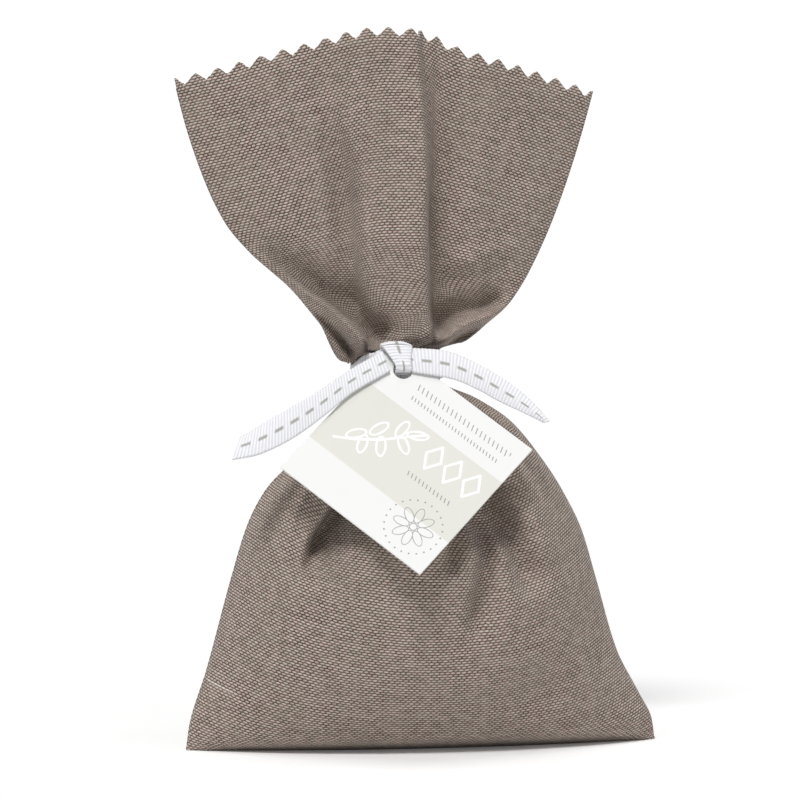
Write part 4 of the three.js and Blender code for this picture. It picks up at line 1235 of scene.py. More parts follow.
    def build(self, frame: dict, pouch: Pouch, ribbon: bpy.types.Material) -> list[bpy.types.Object]:
        """Builds and dresses the ribbon.

        Args:
            frame: The loaded frame.
            pouch: The pouch that it ties.
            ribbon: The ribbon's finish.

        Returns:
            All its pieces.
        """
        left = self.tail(
            "ribbon_left_end",
            ((-4.6, 4.3), (-12.2, -0.5), (-21.0, -7.2), (-30.5, -13.3), (-35.0, -16.2), (-37.2, -17.4)),
            ((-3.0, -0.6), (-11.6, -6.1), (-17.7, -11.5), (-25.4, -17.7), (-33, -21.9), (-39.2, -23.5)),
            ((1.0, 1.2, 1.6, 2.2, 2.0, 1.4), (0.8, 0.9, 1.0, 1.2, 1.6, 2.2)),
            0.25,
            0.9,
        )
        right = self.tail(
            "ribbon_right_end",
            ((1.3, 5.1), (9.4, 4.2), (14.6, 1.9), (21.5, -2.5), (28.1, -8.2), (32.6, -13.9)),
            ((2.1, -0.9), (11.0, -2.7), (17.0, -5.6), (21.3, -8.4), (26.4, -11.3), (31.6, -14.2)),
            ((1.1, 1.5, 2.0, 2.3, 2.2, 1.8), (0.8, 0.8, 0.9, 1.0, 1.4, 1.6)),
            0.35,
            2.6,
        )
        dressed = [
            (self.band(pouch), "pouch", "ribbon_neck_band"),
            (self.knot(frame), "pouch", "ribbon_knot"),
            (self.loop(), "ribbon_front", "ribbon_tag_loop"),
            (left, "tail_left", "ribbon_tail_left"),
            (right, "tail_right", "ribbon_tail_right"),
        ]
        for piece, body, node in dressed:
            dress(piece, ribbon, body, node)
        return [piece for piece, *_ in dressed]


# The tag


@dataclass(frozen=True)
class CardTag:
    """The square card that hangs on the ribbon's loop. Sizes are in millimetres."""

    side: float = 40.5
    thickness: float = 0.5
    hole_radius: float = 2.25
    roll_deg: float = 4.2
    hole_down: float = 6.4
    hole_aside: float = 1.5
    bevel: float = 0.09

    def place(self, s: np.ndarray, t: np.ndarray) -> tuple[np.ndarray, np.ndarray]:
        """Turns a place on the card into a place on the tie's plane.

        Args:
            s: Places along the card's lower left edge, from its middle.
            t: Places up from that edge, from the card's middle.

        Returns:
            The places u across and v up the plane, from the hole.
        """
        angle = math.radians(self.roll_deg - 45)
        roll = math.radians(self.roll_deg)
        down = self.hole_down - self.side / math.sqrt(2)
        cu = -self.hole_aside * math.cos(roll) - down * math.sin(roll)
        cv = -self.hole_aside * math.sin(roll) + down * math.cos(roll)
        u = cu + s * math.cos(angle) - t * math.sin(angle)
        v = cv + s * math.sin(angle) + t * math.cos(angle)
        return u, v

    def hole_place(self) -> tuple[float, float]:
        """Gives the hole's middle on the card.

        Returns:
            Its places s and t from the card's middle.
        """
        diagonal = self.side / math.sqrt(2) - self.hole_down
        s = (self.hole_aside - diagonal) / math.sqrt(2)
        t = (self.hole_aside + diagonal) / math.sqrt(2)
        return s, t

    def build(self, tie: Tie, card: bpy.types.Material) -> bpy.types.Object:
        """Builds and dresses the card.

        Args:
            tie: The tie that it hangs on.
            card: Its finish.

        Returns:
            The card.
        """
        half = self.side / 2
        hs, ht = self.hole_place()
        sides = (-half, half)
        corners = [math.atan2(b - ht, a - hs) % (2 * math.pi) for a in sides for b in sides]
        angle = np.sort(np.concatenate([np.linspace(0, 2 * math.pi, 88, endpoint=False), corners]))
        angle = np.append(angle, angle[0] + 2 * math.pi)
        way = np.stack([np.cos(angle), np.sin(angle)], 1)
        gap = (half - np.where(way >= 0, 1, -1) * (hs, ht)) / np.maximum(np.abs(way), 1e-9)
        edge = np.array([hs, ht]) + way * gap.min(axis=1)[:, None]
        ring = np.array([hs, ht]) + way * self.hole_radius
        rings = np.array([mix(ring, edge, share) for share in (0, 0.1, 0.25, 0.5, 0.75, 1)])
        bm = bmesh.new()
        bmesh.ops.create_grid(bm, x_segments=len(angle) - 1, y_segments=len(rings) - 1, size=1)
        for vertex, (a, b) in zip(bm.verts, rings.reshape(-1, 2).tolist()):
            vertex.co = (a * MM, b * MM, self.thickness / 2 * MM)
        bmesh.ops.remove_doubles(bm, verts=list(bm.verts), dist=2e-6)
        bmesh.ops.recalc_face_normals(bm, faces=list(bm.faces))
        if sum(face.normal.z for face in bm.faces) < 0:
            bmesh.ops.reverse_faces(bm, faces=list(bm.faces))
        under = bmesh.ops.extrude_face_region(bm, geom=list(bm.faces), use_keep_orig=True)
        for vertex in (item for item in under["geom"] if isinstance(item, bmesh.types.BMVert)):
            vertex.co.z = -self.thickness / 2 * MM
        bmesh.ops.recalc_face_normals(bm, faces=list(bm.faces))
        sharp = [e for e in bm.edges if len(e.link_faces) == 2 and e.calc_face_angle(0) > 0.9]
        bmesh.ops.bevel(
            bm, geom=sharp, offset=self.bevel * MM, segments=2, affect="EDGES", profile=0.5, material=-1
        )
        piece = link_mesh("tag_card_print", bm, smooth=False)
        places = np.empty(len(piece.data.vertices) * 3)
        piece.data.vertices.foreach_get("co", places)
        places = places.reshape(-1, 3) / MM
        lay_uv(piece, places[:, :2])
        u, v = self.place(places[:, 0], places[:, 1])
        world = tie.world(np.column_stack([u, v, places[:, 2]])) * MM
        piece.data.vertices.foreach_set("co", world.ravel())
        piece.data.update()
        dress(piece, card, "tag", "tag_card")
        return piece


# Finishes


def linear(red: float, green: float, blue: float) -> tuple[float, float, float, float]:
    """Turns a screen colour from 0 to 255 into a linear one."""
    channels = [c / 255 for c in (red, green, blue)]
    return (*(c / 12.92 if c <= 0.04045 else ((c + 0.055) / 1.055) ** 2.4 for c in channels), 1.0)


class Graph:
    """Adds and joins the nodes of a material or of a node group."""

    def __init__(self, tree: bpy.types.NodeTree) -> None:
        """Keeps the tree to work on."""
        self.tree = tree

    def add(
        self, kind: str, inputs: dict[int | str, Input] | None = None, **settings: object
    ) -> bpy.types.Node:
        """Adds a node.

        Args:
            kind: The node's type.
            inputs: Values or sockets for its inputs, by name or number.
            **settings: Its own properties.

        Returns:
            The node.
        """
        node = self.tree.nodes.new(kind)
        for key, value in settings.items():
            setattr(node, key, value)
        for key, value in (inputs or {}).items():
            if isinstance(value, bpy.types.NodeSocket):
                self.tree.links.new(value, node.inputs[key])
            else:
                node.inputs[key].default_value = value
        return node

    def math(self, operation: str, first: Input, second: Input = 0.0, third: Input = 0.0) -> Socket:
        """Adds a Math node and returns its result."""
        return self.add("ShaderNodeMath", {0: first, 1: second, 2: third}, operation=operation).outputs[0]

    def vector(self, operation: str, *inputs: Input, output: int | str = 0) -> Socket:
        """Adds a Vector Math node and returns one of its results."""
        return self.add("ShaderNodeVectorMath", dict(enumerate(inputs)), operation=operation).outputs[output]

    def ramp(self, value: Input, low: float, high: float, start: float = 0.0, end: float = 1.0) -> Socket:
        """Maps a value smoothly from one range to another and returns the result."""
        inputs = {0: value, 1: low, 2: high, 3: start, 4: end}
        return self.add("ShaderNodeMapRange", inputs, interpolation_type="SMOOTHSTEP").outputs[0]

    def inked(self, gap: Socket, half: Socket) -> Socket:
        """Gives 1 where a gap is less than a stroke's half width, with a soft rim."""
        return self.add(
            "ShaderNodeMapRange", {0: self.math("SUBTRACT", gap, half), 1: 0.03, 2: -0.03}
        ).outputs[0]

    def colour(self, factor: Input, first: Input, second: Input) -> Socket:
        """Mixes two colours and returns the result."""
        return self.add("ShaderNodeMix", {0: factor, 6: first, 7: second}, data_type="RGBA").outputs[2]

    def noise(self, vector: Socket, scale: float, detail: float = 2.0, roughness: float = 0.5) -> Socket:
        """Adds a noise texture and returns its value."""
        inputs = {"Vector": vector, "Scale": scale, "Detail": detail, "Roughness": roughness}
        return self.add("ShaderNodeTexNoise", inputs).outputs["Fac"]

    def stretched(self, vector: Socket, x: float, y: float, z: float = 1.0) -> Socket:
        """Scales the coordinates and returns them."""
        return self.add("ShaderNodeMapping", {"Vector": vector, "Scale": (x, y, z)}).outputs[0]

    def bump(self, shader: bpy.types.Node, strength: float, distance: float, height: Socket) -> None:
        """Bends a shader's normals by a height, whose scale is in metres."""
        node = self.add("ShaderNodeBump", {"Strength": strength, "Distance": distance, "Height": height})
        self.tree.links.new(node.outputs[0], shader.inputs["Normal"])


def shader_group(
    name: str, inputs: list[tuple[str, str]], outputs: list[tuple[str, str]]
) -> tuple[Graph, bpy.types.Node, bpy.types.Node]:
    """Starts a shader node group.

    Args:
        name: The group's name.
        inputs: Names and socket types of its inputs.
        outputs: Names and socket types of its outputs.

    Returns:
        Its graph, its input node and its output node.
    """
    group = bpy.data.node_groups.new(name, "ShaderNodeTree")
    for word, kind in inputs:
        group.interface.new_socket(name=word, in_out="INPUT", socket_type=kind)
    for word, kind in outputs:
        group.interface.new_socket(name=word, in_out="OUTPUT", socket_type=kind)
    graph = Graph(group)
    return graph, graph.add("NodeGroupInput"), graph.add("NodeGroupOutput")


def plain_weave_group() -> bpy.types.NodeTree:
    """Builds the plain weave: bright weft dashes in staggered rows over darker warp yarns.

    Returns:
        The node group. Its vector is a place on the flat cloth in millimetres.
    """
    value, vector = "NodeSocketFloat", "NodeSocketVector"
    graph, given, result = shader_group(
        "plain_weave",
        [("Place", vector), ("Warp Pitch", value), ("Weft Pitch", value), ("Slant", value)],
        [("Weft", value), ("Warp", value), ("Height", value), ("Weft Tone", value), ("Warp Tone", value)],
    )
    place = given.outputs["Place"]
    wander = graph.add("ShaderNodeTexNoise", {"Vector": place, "Scale": 0.55, "Detail": 2.0}).outputs["Color"]
    shift = graph.vector("SUBTRACT", wander, (0.5, 0.5, 0.5))
    moved = graph.vector("MULTIPLY_ADD", shift, (0.35, 0.35, 0.0), place)
    axes = graph.add("ShaderNodeSeparateXYZ", {0: moved})
    row = graph.math("DIVIDE", axes.outputs[1], given.outputs["Weft Pitch"])
    row_number = graph.math("FLOOR", row)
    row_part = graph.math("SUBTRACT", graph.math("FRACT", row), 0.5)
    odd = graph.math("PINGPONG", row_number, 1.0)
    column = graph.math("DIVIDE", axes.outputs[0], given.outputs["Warp Pitch"])
    pair = graph.math("ADD", graph.math("MULTIPLY", column, 0.5), graph.math("MULTIPLY", odd, 0.5))
    dash = graph.math("SUBTRACT", graph.math("FRACT", pair), 0.5)
    gap = graph.math("SUBTRACT", graph.math("FRACT", graph.math("ADD", pair, 0.5)), 0.5)

    def mound(along: Socket, along_reach: float, over: Socket, over_reach: float) -> Socket:
        """Makes the rounded bead that a yarn shows where it passes over another.

        Args:
            along: Places along the yarn from the bead's middle.
            along_reach: The bead's half length.
            over: Places across the yarn from the bead's middle.
            over_reach: The bead's half width.

        Returns:
            The bead's height from 0 to 1.
        """
        first = graph.math("POWER", graph.math("ABSOLUTE", graph.math("DIVIDE", along, along_reach)), 2.2)
        second = graph.math("POWER", graph.math("ABSOLUTE", graph.math("DIVIDE", over, over_reach)), 2.2)
        left = graph.math("SUBTRACT", 1.0, graph.math("ADD", first, second))
        return graph.math("MAXIMUM", left, 0.0)

    tilted = graph.math("ADD", row_part, graph.math("MULTIPLY", dash, given.outputs["Slant"]))
    weft = mound(dash, 0.5, tilted, 0.46)
    warp = mound(gap, 0.24, row_part, 0.55)
    graph.tree.links.new(graph.ramp(weft, 0.0, 0.85), result.inputs["Weft"])
    graph.tree.links.new(graph.ramp(warp, 0.05, 0.8), result.inputs["Warp"])
    height = graph.math("MAXIMUM", weft, graph.math("MULTIPLY", warp, 0.7))
    graph.tree.links.new(height, result.inputs["Height"])
    bead = graph.add("ShaderNodeCombineXYZ", {0: row_number, 1: graph.math("FLOOR", pair), 2: 0.0}).outputs[0]
    tones = (("Weft Tone", row_number, (0.3, 1.9)), ("Warp Tone", graph.math("FLOOR", column), (2.0, 0.25)))
    for name, number, stretch in tones:
        line = graph.add("ShaderNodeTexWhiteNoise", {"W": number}, noise_dimensions="1D").outputs["Value"]
        own = graph.add("ShaderNodeTexWhiteNoise", {"Vector": bead}, noise_dimensions="2D").outputs["Value"]
        drift = graph.noise(graph.stretched(place, *stretch), 1.0, 3.0, 0.6)
        tone = graph.math("ADD", graph.math("MULTIPLY", own, 0.26), graph.math("MULTIPLY", line, 0.14))
        graph.tree.links.new(graph.math("ADD", tone, graph.math("MULTIPLY", drift, 0.6)), result.inputs[name])
    return graph.tree


def ribs_group() -> bpy.types.NodeTree:
    """Builds the ribs and the running stitch of a stitched ribbon.

    Returns:
        The node group. Its vector is a place along and across the flat ribbon in millimetres.
    """
    value, vector = "NodeSocketFloat", "NodeSocketVector"
    graph, given, result = shader_group(
        "ribs",
        [("Place", vector), ("Rib Pitch", value), ("Stitch Pitch", value)],
        [("Rib", value), ("Stitch", value), ("Height", value), ("Edge", value)],
    )
    axes = graph.add("ShaderNodeSeparateXYZ", {0: given.outputs["Place"]})
    turns = graph.math("DIVIDE", axes.outputs[0], given.outputs["Rib Pitch"])
    wave = graph.math("COSINE", graph.math("MULTIPLY", turns, 2 * math.pi))
    rib = graph.ramp(wave, -1.0, 0.7)
    part = graph.math("FRACT", graph.math("DIVIDE", axes.outputs[0], given.outputs["Stitch Pitch"]))
    along = graph.math("ABSOLUTE", graph.math("SUBTRACT", part, 0.5))
    across = graph.math("ABSOLUTE", axes.outputs[1])
    fuzz = graph.noise(graph.stretched(given.outputs["Place"], 1.0, 3.0), 2.2, 3.0, 0.6)
    blur = graph.math("MULTIPLY", graph.math("SUBTRACT", fuzz, 0.5), 0.16)
    long_part = graph.ramp(graph.math("ADD", along, blur), 0.33, 0.21)
    wide_part = graph.ramp(graph.math("ADD", across, graph.math("MULTIPLY", blur, 1.6)), 0.52, 0.16)
    stitch = graph.math("MULTIPLY", long_part, wide_part)
    graph.tree.links.new(rib, result.inputs["Rib"])
    graph.tree.links.new(stitch, result.inputs["Stitch"])
    edge = graph.ramp(across, 2.75, 3.1)
    graph.tree.links.new(edge, result.inputs["Edge"])
    inside = graph.math("SUBTRACT", 1.0, graph.math("MULTIPLY", edge, 0.5))
    height = graph.math("ADD", graph.math("MULTIPLY", rib, inside), graph.math("MULTIPLY", stitch, 0.5))
    graph.tree.links.new(height, result.inputs["Height"])
    return graph.tree


def stroke_group() -> bpy.types.NodeTree:
    """Builds a printed stroke with round ends between two places.

    Returns:
        The node group. Its vectors are places on the card in millimetres.
    """
    value, vector = "NodeSocketFloat", "NodeSocketVector"
    graph, given, result = shader_group(
        "stroke", [
            ("Place", vector), ("Start", vector), ("End", vector), ("Half Width", value)
        ], [("Ink", value)]
    )
    run = graph.vector("SUBTRACT", given.outputs["End"], given.outputs["Start"])
    off = graph.vector("SUBTRACT", given.outputs["Place"], given.outputs["Start"])
    down = graph.vector("DOT_PRODUCT", off, run, output="Value")
    whole = graph.vector("DOT_PRODUCT", run, run, output="Value")
    share = graph.math("MINIMUM", graph.math("MAXIMUM", graph.math("DIVIDE", down, whole), 0.0), 1.0)
    near = graph.add("ShaderNodeVectorMath", {0: run, "Scale": share}, operation="SCALE").outputs[0]
    gap = graph.vector("DISTANCE", off, near, output="Value")
    graph.tree.links.new(graph.inked(gap, given.outputs["Half Width"]), result.inputs["Ink"])
    return graph.tree


def oval_group() -> bpy.types.NodeTree:
    """Builds the printed outline of an oval that is turned to some angle.

    Returns:
        The node group. Its vectors are places and lengths on the card in millimetres.
    """
    value, vector = "NodeSocketFloat", "NodeSocketVector"
    graph, given, result = shader_group(
        "oval",
        [("Place", vector), ("Middle", vector), ("Angle", value), ("Reach", vector), ("Half Width", value)],
        [("Ink", value)],
    )
    off = graph.vector("SUBTRACT", given.outputs["Place"], given.outputs["Middle"])
    spun = graph.add(
        "ShaderNodeVectorRotate", {"Vector": off, "Angle": given.outputs["Angle"]}, rotation_type="Z_AXIS"
    )
    turned = spun.outputs[0]
    level = graph.vector("LENGTH", graph.vector("DIVIDE", turned, given.outputs["Reach"]), output="Value")
    far = graph.vector("LENGTH", turned, output="Value")
    past = graph.math("DIVIDE", graph.math("SUBTRACT", level, 1.0), graph.math("MAXIMUM", level, 0.01))
    gap = graph.math("ABSOLUTE", graph.math("MULTIPLY", past, far))
    graph.tree.links.new(graph.inked(gap, given.outputs["Half Width"]), result.inputs["Ink"])
    return graph.tree


def new_material(name: str) -> tuple[bpy.types.Material, Graph, bpy.types.Node]:
    """Starts a material with its Principled shader.

    Args:
        name: The material's name.

    Returns:
        The material, its graph and the shader's node.
    """
    material = bpy.data.materials.new(name)
    material.use_nodes = True
    graph = Graph(material.node_tree)
    shader = next(node for node in material.node_tree.nodes if node.type == "BSDF_PRINCIPLED")
    return material, graph, shader


@dataclass(frozen=True)
class LinenFinish:
    """A coarse melange plain weave. Pitches are in millimetres."""

    name: str
    light: Colour = (222, 206, 197)
    middle: Colour = (160, 142, 133)
    dark: Colour = (68, 54, 49)
    rosy: Colour = (208, 178, 170)
    mossy: Colour = (186, 184, 164)
    patchy: Colour = (150, 146, 126)
    slub_light: Colour = (226, 216, 206)
    warp_pitch: float = 0.61
    weft_pitch: float = 0.635
    slant: float = -0.08
    slub: bool = True
    slub_height: float = 17.4
    slub_span: tuple[float, float] = (1.0, 12.5)

    def material(self, weave: bpy.types.NodeTree) -> bpy.types.Material:
        """Builds the cloth's material.

        Args:
            weave: The plain weave's node group.

        Returns:
            The material.
        """
        material, graph, shader = new_material(self.name)
        flat = graph.add("ShaderNodeUVMap", uv_map="flat").outputs[0]
        yarns = graph.add("ShaderNodeGroup", {}, node_tree=weave)
        graph.tree.links.new(flat, yarns.inputs["Place"])
        yarns.inputs["Warp Pitch"].default_value = self.warp_pitch
        yarns.inputs["Weft Pitch"].default_value = self.weft_pitch
        yarns.inputs["Slant"].default_value = self.slant
        weft_tone, warp_tone = yarns.outputs["Weft Tone"], yarns.outputs["Warp Tone"]
        light = graph.colour(graph.ramp(weft_tone, 0.15, 0.7), linear(*self.middle), linear(*self.light))
        streaks = graph.noise(graph.stretched(flat, 0.5, 1.6), 1.0, 2.0)
        tint = graph.colour(graph.ramp(streaks, 0.38, 0.62), linear(*self.rosy), linear(*self.mossy))
        light = graph.colour(0.4, light, tint)
        middle = graph.colour(graph.ramp(warp_tone, 0.3, 0.75), linear(*self.dark), linear(*self.middle))
        shown = graph.math("MULTIPLY_ADD", yarns.outputs["Warp"], 0.75, 0.15)
        ground = graph.colour(shown, linear(*self.dark), middle)
        cloth = graph.colour(yarns.outputs["Weft"], ground, light)
        patch = graph.noise(flat, 0.09, 3.0, 0.6)
        cloth = graph.colour(graph.ramp(patch, 0.3, 0.7, 0.0, 0.16), cloth, linear(*self.patchy))
        if self.slub:
            axes = graph.add("ShaderNodeSeparateXYZ", {0: flat})
            off = graph.math("ABSOLUTE", graph.math("SUBTRACT", axes.outputs[1], self.slub_height))
            row = graph.ramp(off, 0.3, 0.16)
            start = graph.ramp(axes.outputs[0], self.slub_span[0], self.slub_span[0] + 1.0)
            end = graph.ramp(axes.outputs[0], self.slub_span[1], self.slub_span[1] - 3.5)
            beads = graph.ramp(yarns.outputs["Weft"], 0.0, 0.8, 0.25, 0.95)
            mask = graph.math(
                "MULTIPLY", graph.math("MULTIPLY", row, start), graph.math("MULTIPLY", end, beads)
            )
            cloth = graph.colour(mask, cloth, linear(*self.slub_light))
        graph.tree.links.new(cloth, shader.inputs["Base Color"])
        fuzz = graph.math("MULTIPLY", graph.noise(flat, 6.0, 2.0), 0.25)
        graph.bump(shader, 0.75, 0.00016, graph.math("ADD", yarns.outputs["Height"], fuzz))
        shader.inputs["Roughness"].default_value = 0.92
        shader.inputs["Specular IOR Level"].default_value = 0.2
        shader.inputs["Sheen Weight"].default_value = 0.12
        shader.inputs["Sheen Roughness"].default_value = 0.5
        return material


@dataclass(frozen=True)
class RibbonFinish:
    """A white ribbed ribbon with a grey running stitch, and painted shade in the grooves between its ribs. Pitches
    are in millimetres.
    """

    name: str
    white: Colour = (247, 247, 249)
    # Painted shade: the colour of the grooves between the ribs, darker where less light falls in.
    groove_shade: Colour = (222, 222, 229)
    shade: Colour = (226, 227, 231)
    thread: Colour = (170, 169, 165)
    rib_pitch: float = 0.8
    stitch_pitch: float = 4.2

    def material(self, ribs: bpy.types.NodeTree) -> bpy.types.Material:
        """Builds the ribbon's material.

        Args:
            ribs: The ribs' node group.

        Returns:
            The material.
        """
        material, graph, shader = new_material(self.name)
        flat = graph.add("ShaderNodeUVMap", uv_map="flat").outputs[0]
        weave = graph.add("ShaderNodeGroup", {}, node_tree=ribs)
        graph.tree.links.new(flat, weave.inputs["Place"])
        weave.inputs["Rib Pitch"].default_value = self.rib_pitch
        weave.inputs["Stitch Pitch"].default_value = self.stitch_pitch
        # Painted shade: the ribs' grooves get the darker groove colour, along with the ribs' bump.
        cloth = graph.colour(weave.outputs["Rib"], linear(*self.groove_shade), linear(*self.white))
        worn = graph.ramp(graph.noise(flat, 1.4, 3.0), 0.35, 0.7, 0.0, 0.3)
        cloth = graph.colour(worn, cloth, linear(*self.shade))
        cloth = graph.colour(weave.outputs["Stitch"], cloth, linear(*self.thread))
        graph.tree.links.new(cloth, shader.inputs["Base Color"])
        graph.bump(shader, 0.45, 0.00016, weave.outputs["Height"])
        shader.inputs["Roughness"].default_value = 0.7
        shader.inputs["Specular IOR Level"].default_value = 0.3
        shader.inputs["Sheen Weight"].default_value = 0.1
        return material


@dataclass(frozen=True)
class CardFinish:
    """Uncoated white card with a generic print. Places are in millimetres on the card."""

    name: str
    paper: Colour = (238, 238, 237)
    paper_shade: Colour = (234, 234, 232)
    panel: Colour = (224, 224, 217)
    panel_shade: Colour = (219, 219, 211)
    white: Colour = (251, 251, 249)
    grey: Colour = (128, 127, 124)
    panel_top: float = 9.2
    panel_bottom: float = -10.1
    stem: Curve = ((-16.0, -6.5), (-12.0, -4.0), (-7.5, -0.3), (-3.8, 3.6), (-0.2, 7.4))
    lozenges: tuple[float, ...] = (4.6, 10.0, 15.4)
    tick_rows: tuple[tuple[float, ...], ...] = (
        (15.6, 0.8, 1.2, -9.6, 17.4),
        (12.6, 0.5, 0.9, -9.2, 16.4),
        (-2.6, 0.6, 1.05, 2.2, 14.6),
    )
    rosette: tuple[float, float] = (11.8, -12.2)
    petals: int = 8
    dots: int = 24

    def leaves(self) -> list[tuple[float, float, float, float, float]]:
        """Lists the sprig's leaves as middle, angle, length and width."""
        return [
            (-12.6, -2.6, 0.9, 2.3, 1.0), (-9.9, -3.7, -1.2, 2.3, 1.0), (-9.4, 1.7, 1.25, 2.4, 1.05),
            (-6.3, -1.5, -0.95, 2.4, 1.05), (-5.3, 5.0, 1.6, 2.3, 1.0), (-2.6, 2.1, -0.55, 2.3, 1.0),
            (-1.6, 6.0, 0.55, 2.4, 1.0),
        ]

    def material(self, stroke: bpy.types.NodeTree, oval: bpy.types.NodeTree) -> bpy.types.Material:
        """Builds the card's material.

        Args:
            stroke: The stroke's node group.
            oval: The oval's node group.

        Returns:
            The material.
        """
        material, graph, shader = new_material(self.name)
        flat = graph.add("ShaderNodeUVMap", uv_map="flat").outputs[0]
        axes = graph.add("ShaderNodeSeparateXYZ", {0: flat})

        def rule(start: tuple[float, float], end: tuple[float, float], half: float) -> Socket:
            """Prints a stroke.

            Args:
                start: Its first end.
                end: Its other end.
                half: Half its width.

            Returns:
                Its mask.
            """
            node = graph.add("ShaderNodeGroup", node_tree=stroke)
            graph.tree.links.new(flat, node.inputs["Place"])
            node.inputs["Start"].default_value = (*start, 0.0)
            node.inputs["End"].default_value = (*end, 0.0)
            node.inputs["Half Width"].default_value = half
            return node.outputs[0]

        def outline(
            middle: tuple[float, float], angle: float, reach: tuple[float, float], half: float
        ) -> Socket:
            """Prints the outline of an oval.

            Args:
                middle: Its middle.
                angle: How far it is turned.
                reach: Its half length and half width.
                half: Half the outline's width.

            Returns:
                Its mask.
            """
            node = graph.add("ShaderNodeGroup", node_tree=oval)
            graph.tree.links.new(flat, node.inputs["Place"])
            node.inputs["Middle"].default_value = (*middle, 0.0)
            node.inputs["Angle"].default_value = -angle
            node.inputs["Reach"].default_value = (*reach, 1.0)
            node.inputs["Half Width"].default_value = half
            return node.outputs[0]

        def joined(masks: list[Socket]) -> Socket:
            """Joins masks into one.

            Args:
                masks: The masks.

            Returns:
                The mask of all.
            """
            total = masks[0]
            for mask in masks[1:]:
                total = graph.math("MAXIMUM", total, mask)
            return total

        top = graph.ramp(axes.outputs[1], self.panel_top + 0.04, self.panel_top - 0.04)
        low = graph.ramp(axes.outputs[1], self.panel_bottom - 0.04, self.panel_bottom + 0.04)
        normal = graph.add("ShaderNodeNewGeometry").outputs["True Normal"]
        is_front = graph.math("GREATER_THAN", graph.vector("DOT_PRODUCT", normal, TAG_OUT, output="Value"), 0.5)
        fibre = graph.noise(graph.stretched(flat, 1.0, 1.6), 2.6, 5.0, 0.7)
        paper = graph.colour(
            graph.ramp(fibre, 0.3, 0.75, 0.0, 0.35), linear(*self.paper), linear(*self.paper_shade)
        )
        panel = graph.colour(
            graph.ramp(fibre, 0.3, 0.7, 0.0, 0.6), linear(*self.panel), linear(*self.panel_shade)
        )
        face = graph.colour(graph.math("MULTIPLY", top, low), paper, panel)
        white = [rule(a, b, 0.3) for a, b in zip(self.stem, self.stem[1:])]
        white += [outline((s, t), angle, (length, width), 0.28) for s, t, angle, length, width in self.leaves()]
        for s in self.lozenges:
            corners = [(s, 7.4), (s + 2.1, 4.0), (s, 0.6), (s - 2.1, 4.0), (s, 7.4)]
            white += [rule(a, b, 0.3) for a, b in zip(corners, corners[1:])]
        face = graph.colour(joined(white), face, linear(*self.white))
        rows = []
        for level, tall, pitch, start, stop in self.tick_rows:
            near = graph.math("SUBTRACT", axes.outputs[1], level)
            leaning = graph.math("ADD", axes.outputs[0], graph.math("MULTIPLY", near, 0.35))
            part = graph.math("FRACT", graph.math("DIVIDE", leaning, pitch))
            part = graph.math("ABSOLUTE", graph.math("SUBTRACT", part, 0.5))
            tick = graph.ramp(graph.math("MULTIPLY", part, pitch), 0.16, 0.08)
            band = graph.ramp(graph.math("ABSOLUTE", near), tall, tall - 0.06)
            after = graph.math("GREATER_THAN", axes.outputs[0], start)
            inside = graph.math("MULTIPLY", after, graph.math("LESS_THAN", axes.outputs[0], stop))
            rows.append(graph.math("MULTIPLY", graph.math("MULTIPLY", tick, band), inside))
        middle = self.rosette
        marks = []
        for i in range(self.petals):
            angle = 2 * math.pi * i / self.petals + 0.2
            place = (middle[0] + 3.0 * math.cos(angle), middle[1] + 3.0 * math.sin(angle))
            marks.append(outline(place, angle, (1.9, 0.95), 0.09))
        marks.append(outline(middle, 0.0, (0.85, 0.85), 0.09))
        for i in range(self.dots):
            angle = 2 * math.pi * i / self.dots
            place = (middle[0] + 6.6 * math.cos(angle), middle[1] + 6.6 * math.sin(angle))
            marks.append(rule(place, (place[0] + 0.01, place[1]), 0.2))
        grey = graph.math("MAXIMUM", joined(rows), joined(marks))
        face = graph.colour(graph.math("MULTIPLY", grey, 0.85), face, linear(*self.grey))
        colour = graph.colour(is_front, paper, face)
        graph.tree.links.new(colour, shader.inputs["Base Color"])
        graph.bump(shader, 0.25, 0.00003, fibre)
        shader.inputs["Roughness"].default_value = 0.62
        shader.inputs["Specular IOR Level"].default_value = 0.3
        return material


@dataclass(frozen=True)
class FleeceFinish:
    """Thin pressed fleece of crossing fibres."""

    name: str
    light: Colour = (238, 235, 227)
    shade: Colour = (206, 201, 190)

    def material(self) -> bpy.types.Material:
        """Builds the fleece's material.

        Returns:
            The material.
        """
        material, graph, shader = new_material(self.name)
        place = graph.add("ShaderNodeTexCoord").outputs["Object"]
        fibres = graph.noise(graph.stretched(place, 900.0, 900.0, 2600.0), 1.0, 5.0, 0.75)
        crossing = graph.noise(graph.stretched(place, 2600.0, 700.0, 700.0), 1.0, 5.0, 0.75)
        web = graph.math("MAXIMUM", fibres, crossing)
        tone = graph.colour(graph.ramp(web, 0.42, 0.68), linear(*self.shade), linear(*self.light))
        graph.tree.links.new(tone, shader.inputs["Base Color"])
        graph.bump(shader, 0.6, 0.0001, web)
        shader.inputs["Roughness"].default_value = 0.9
        return material


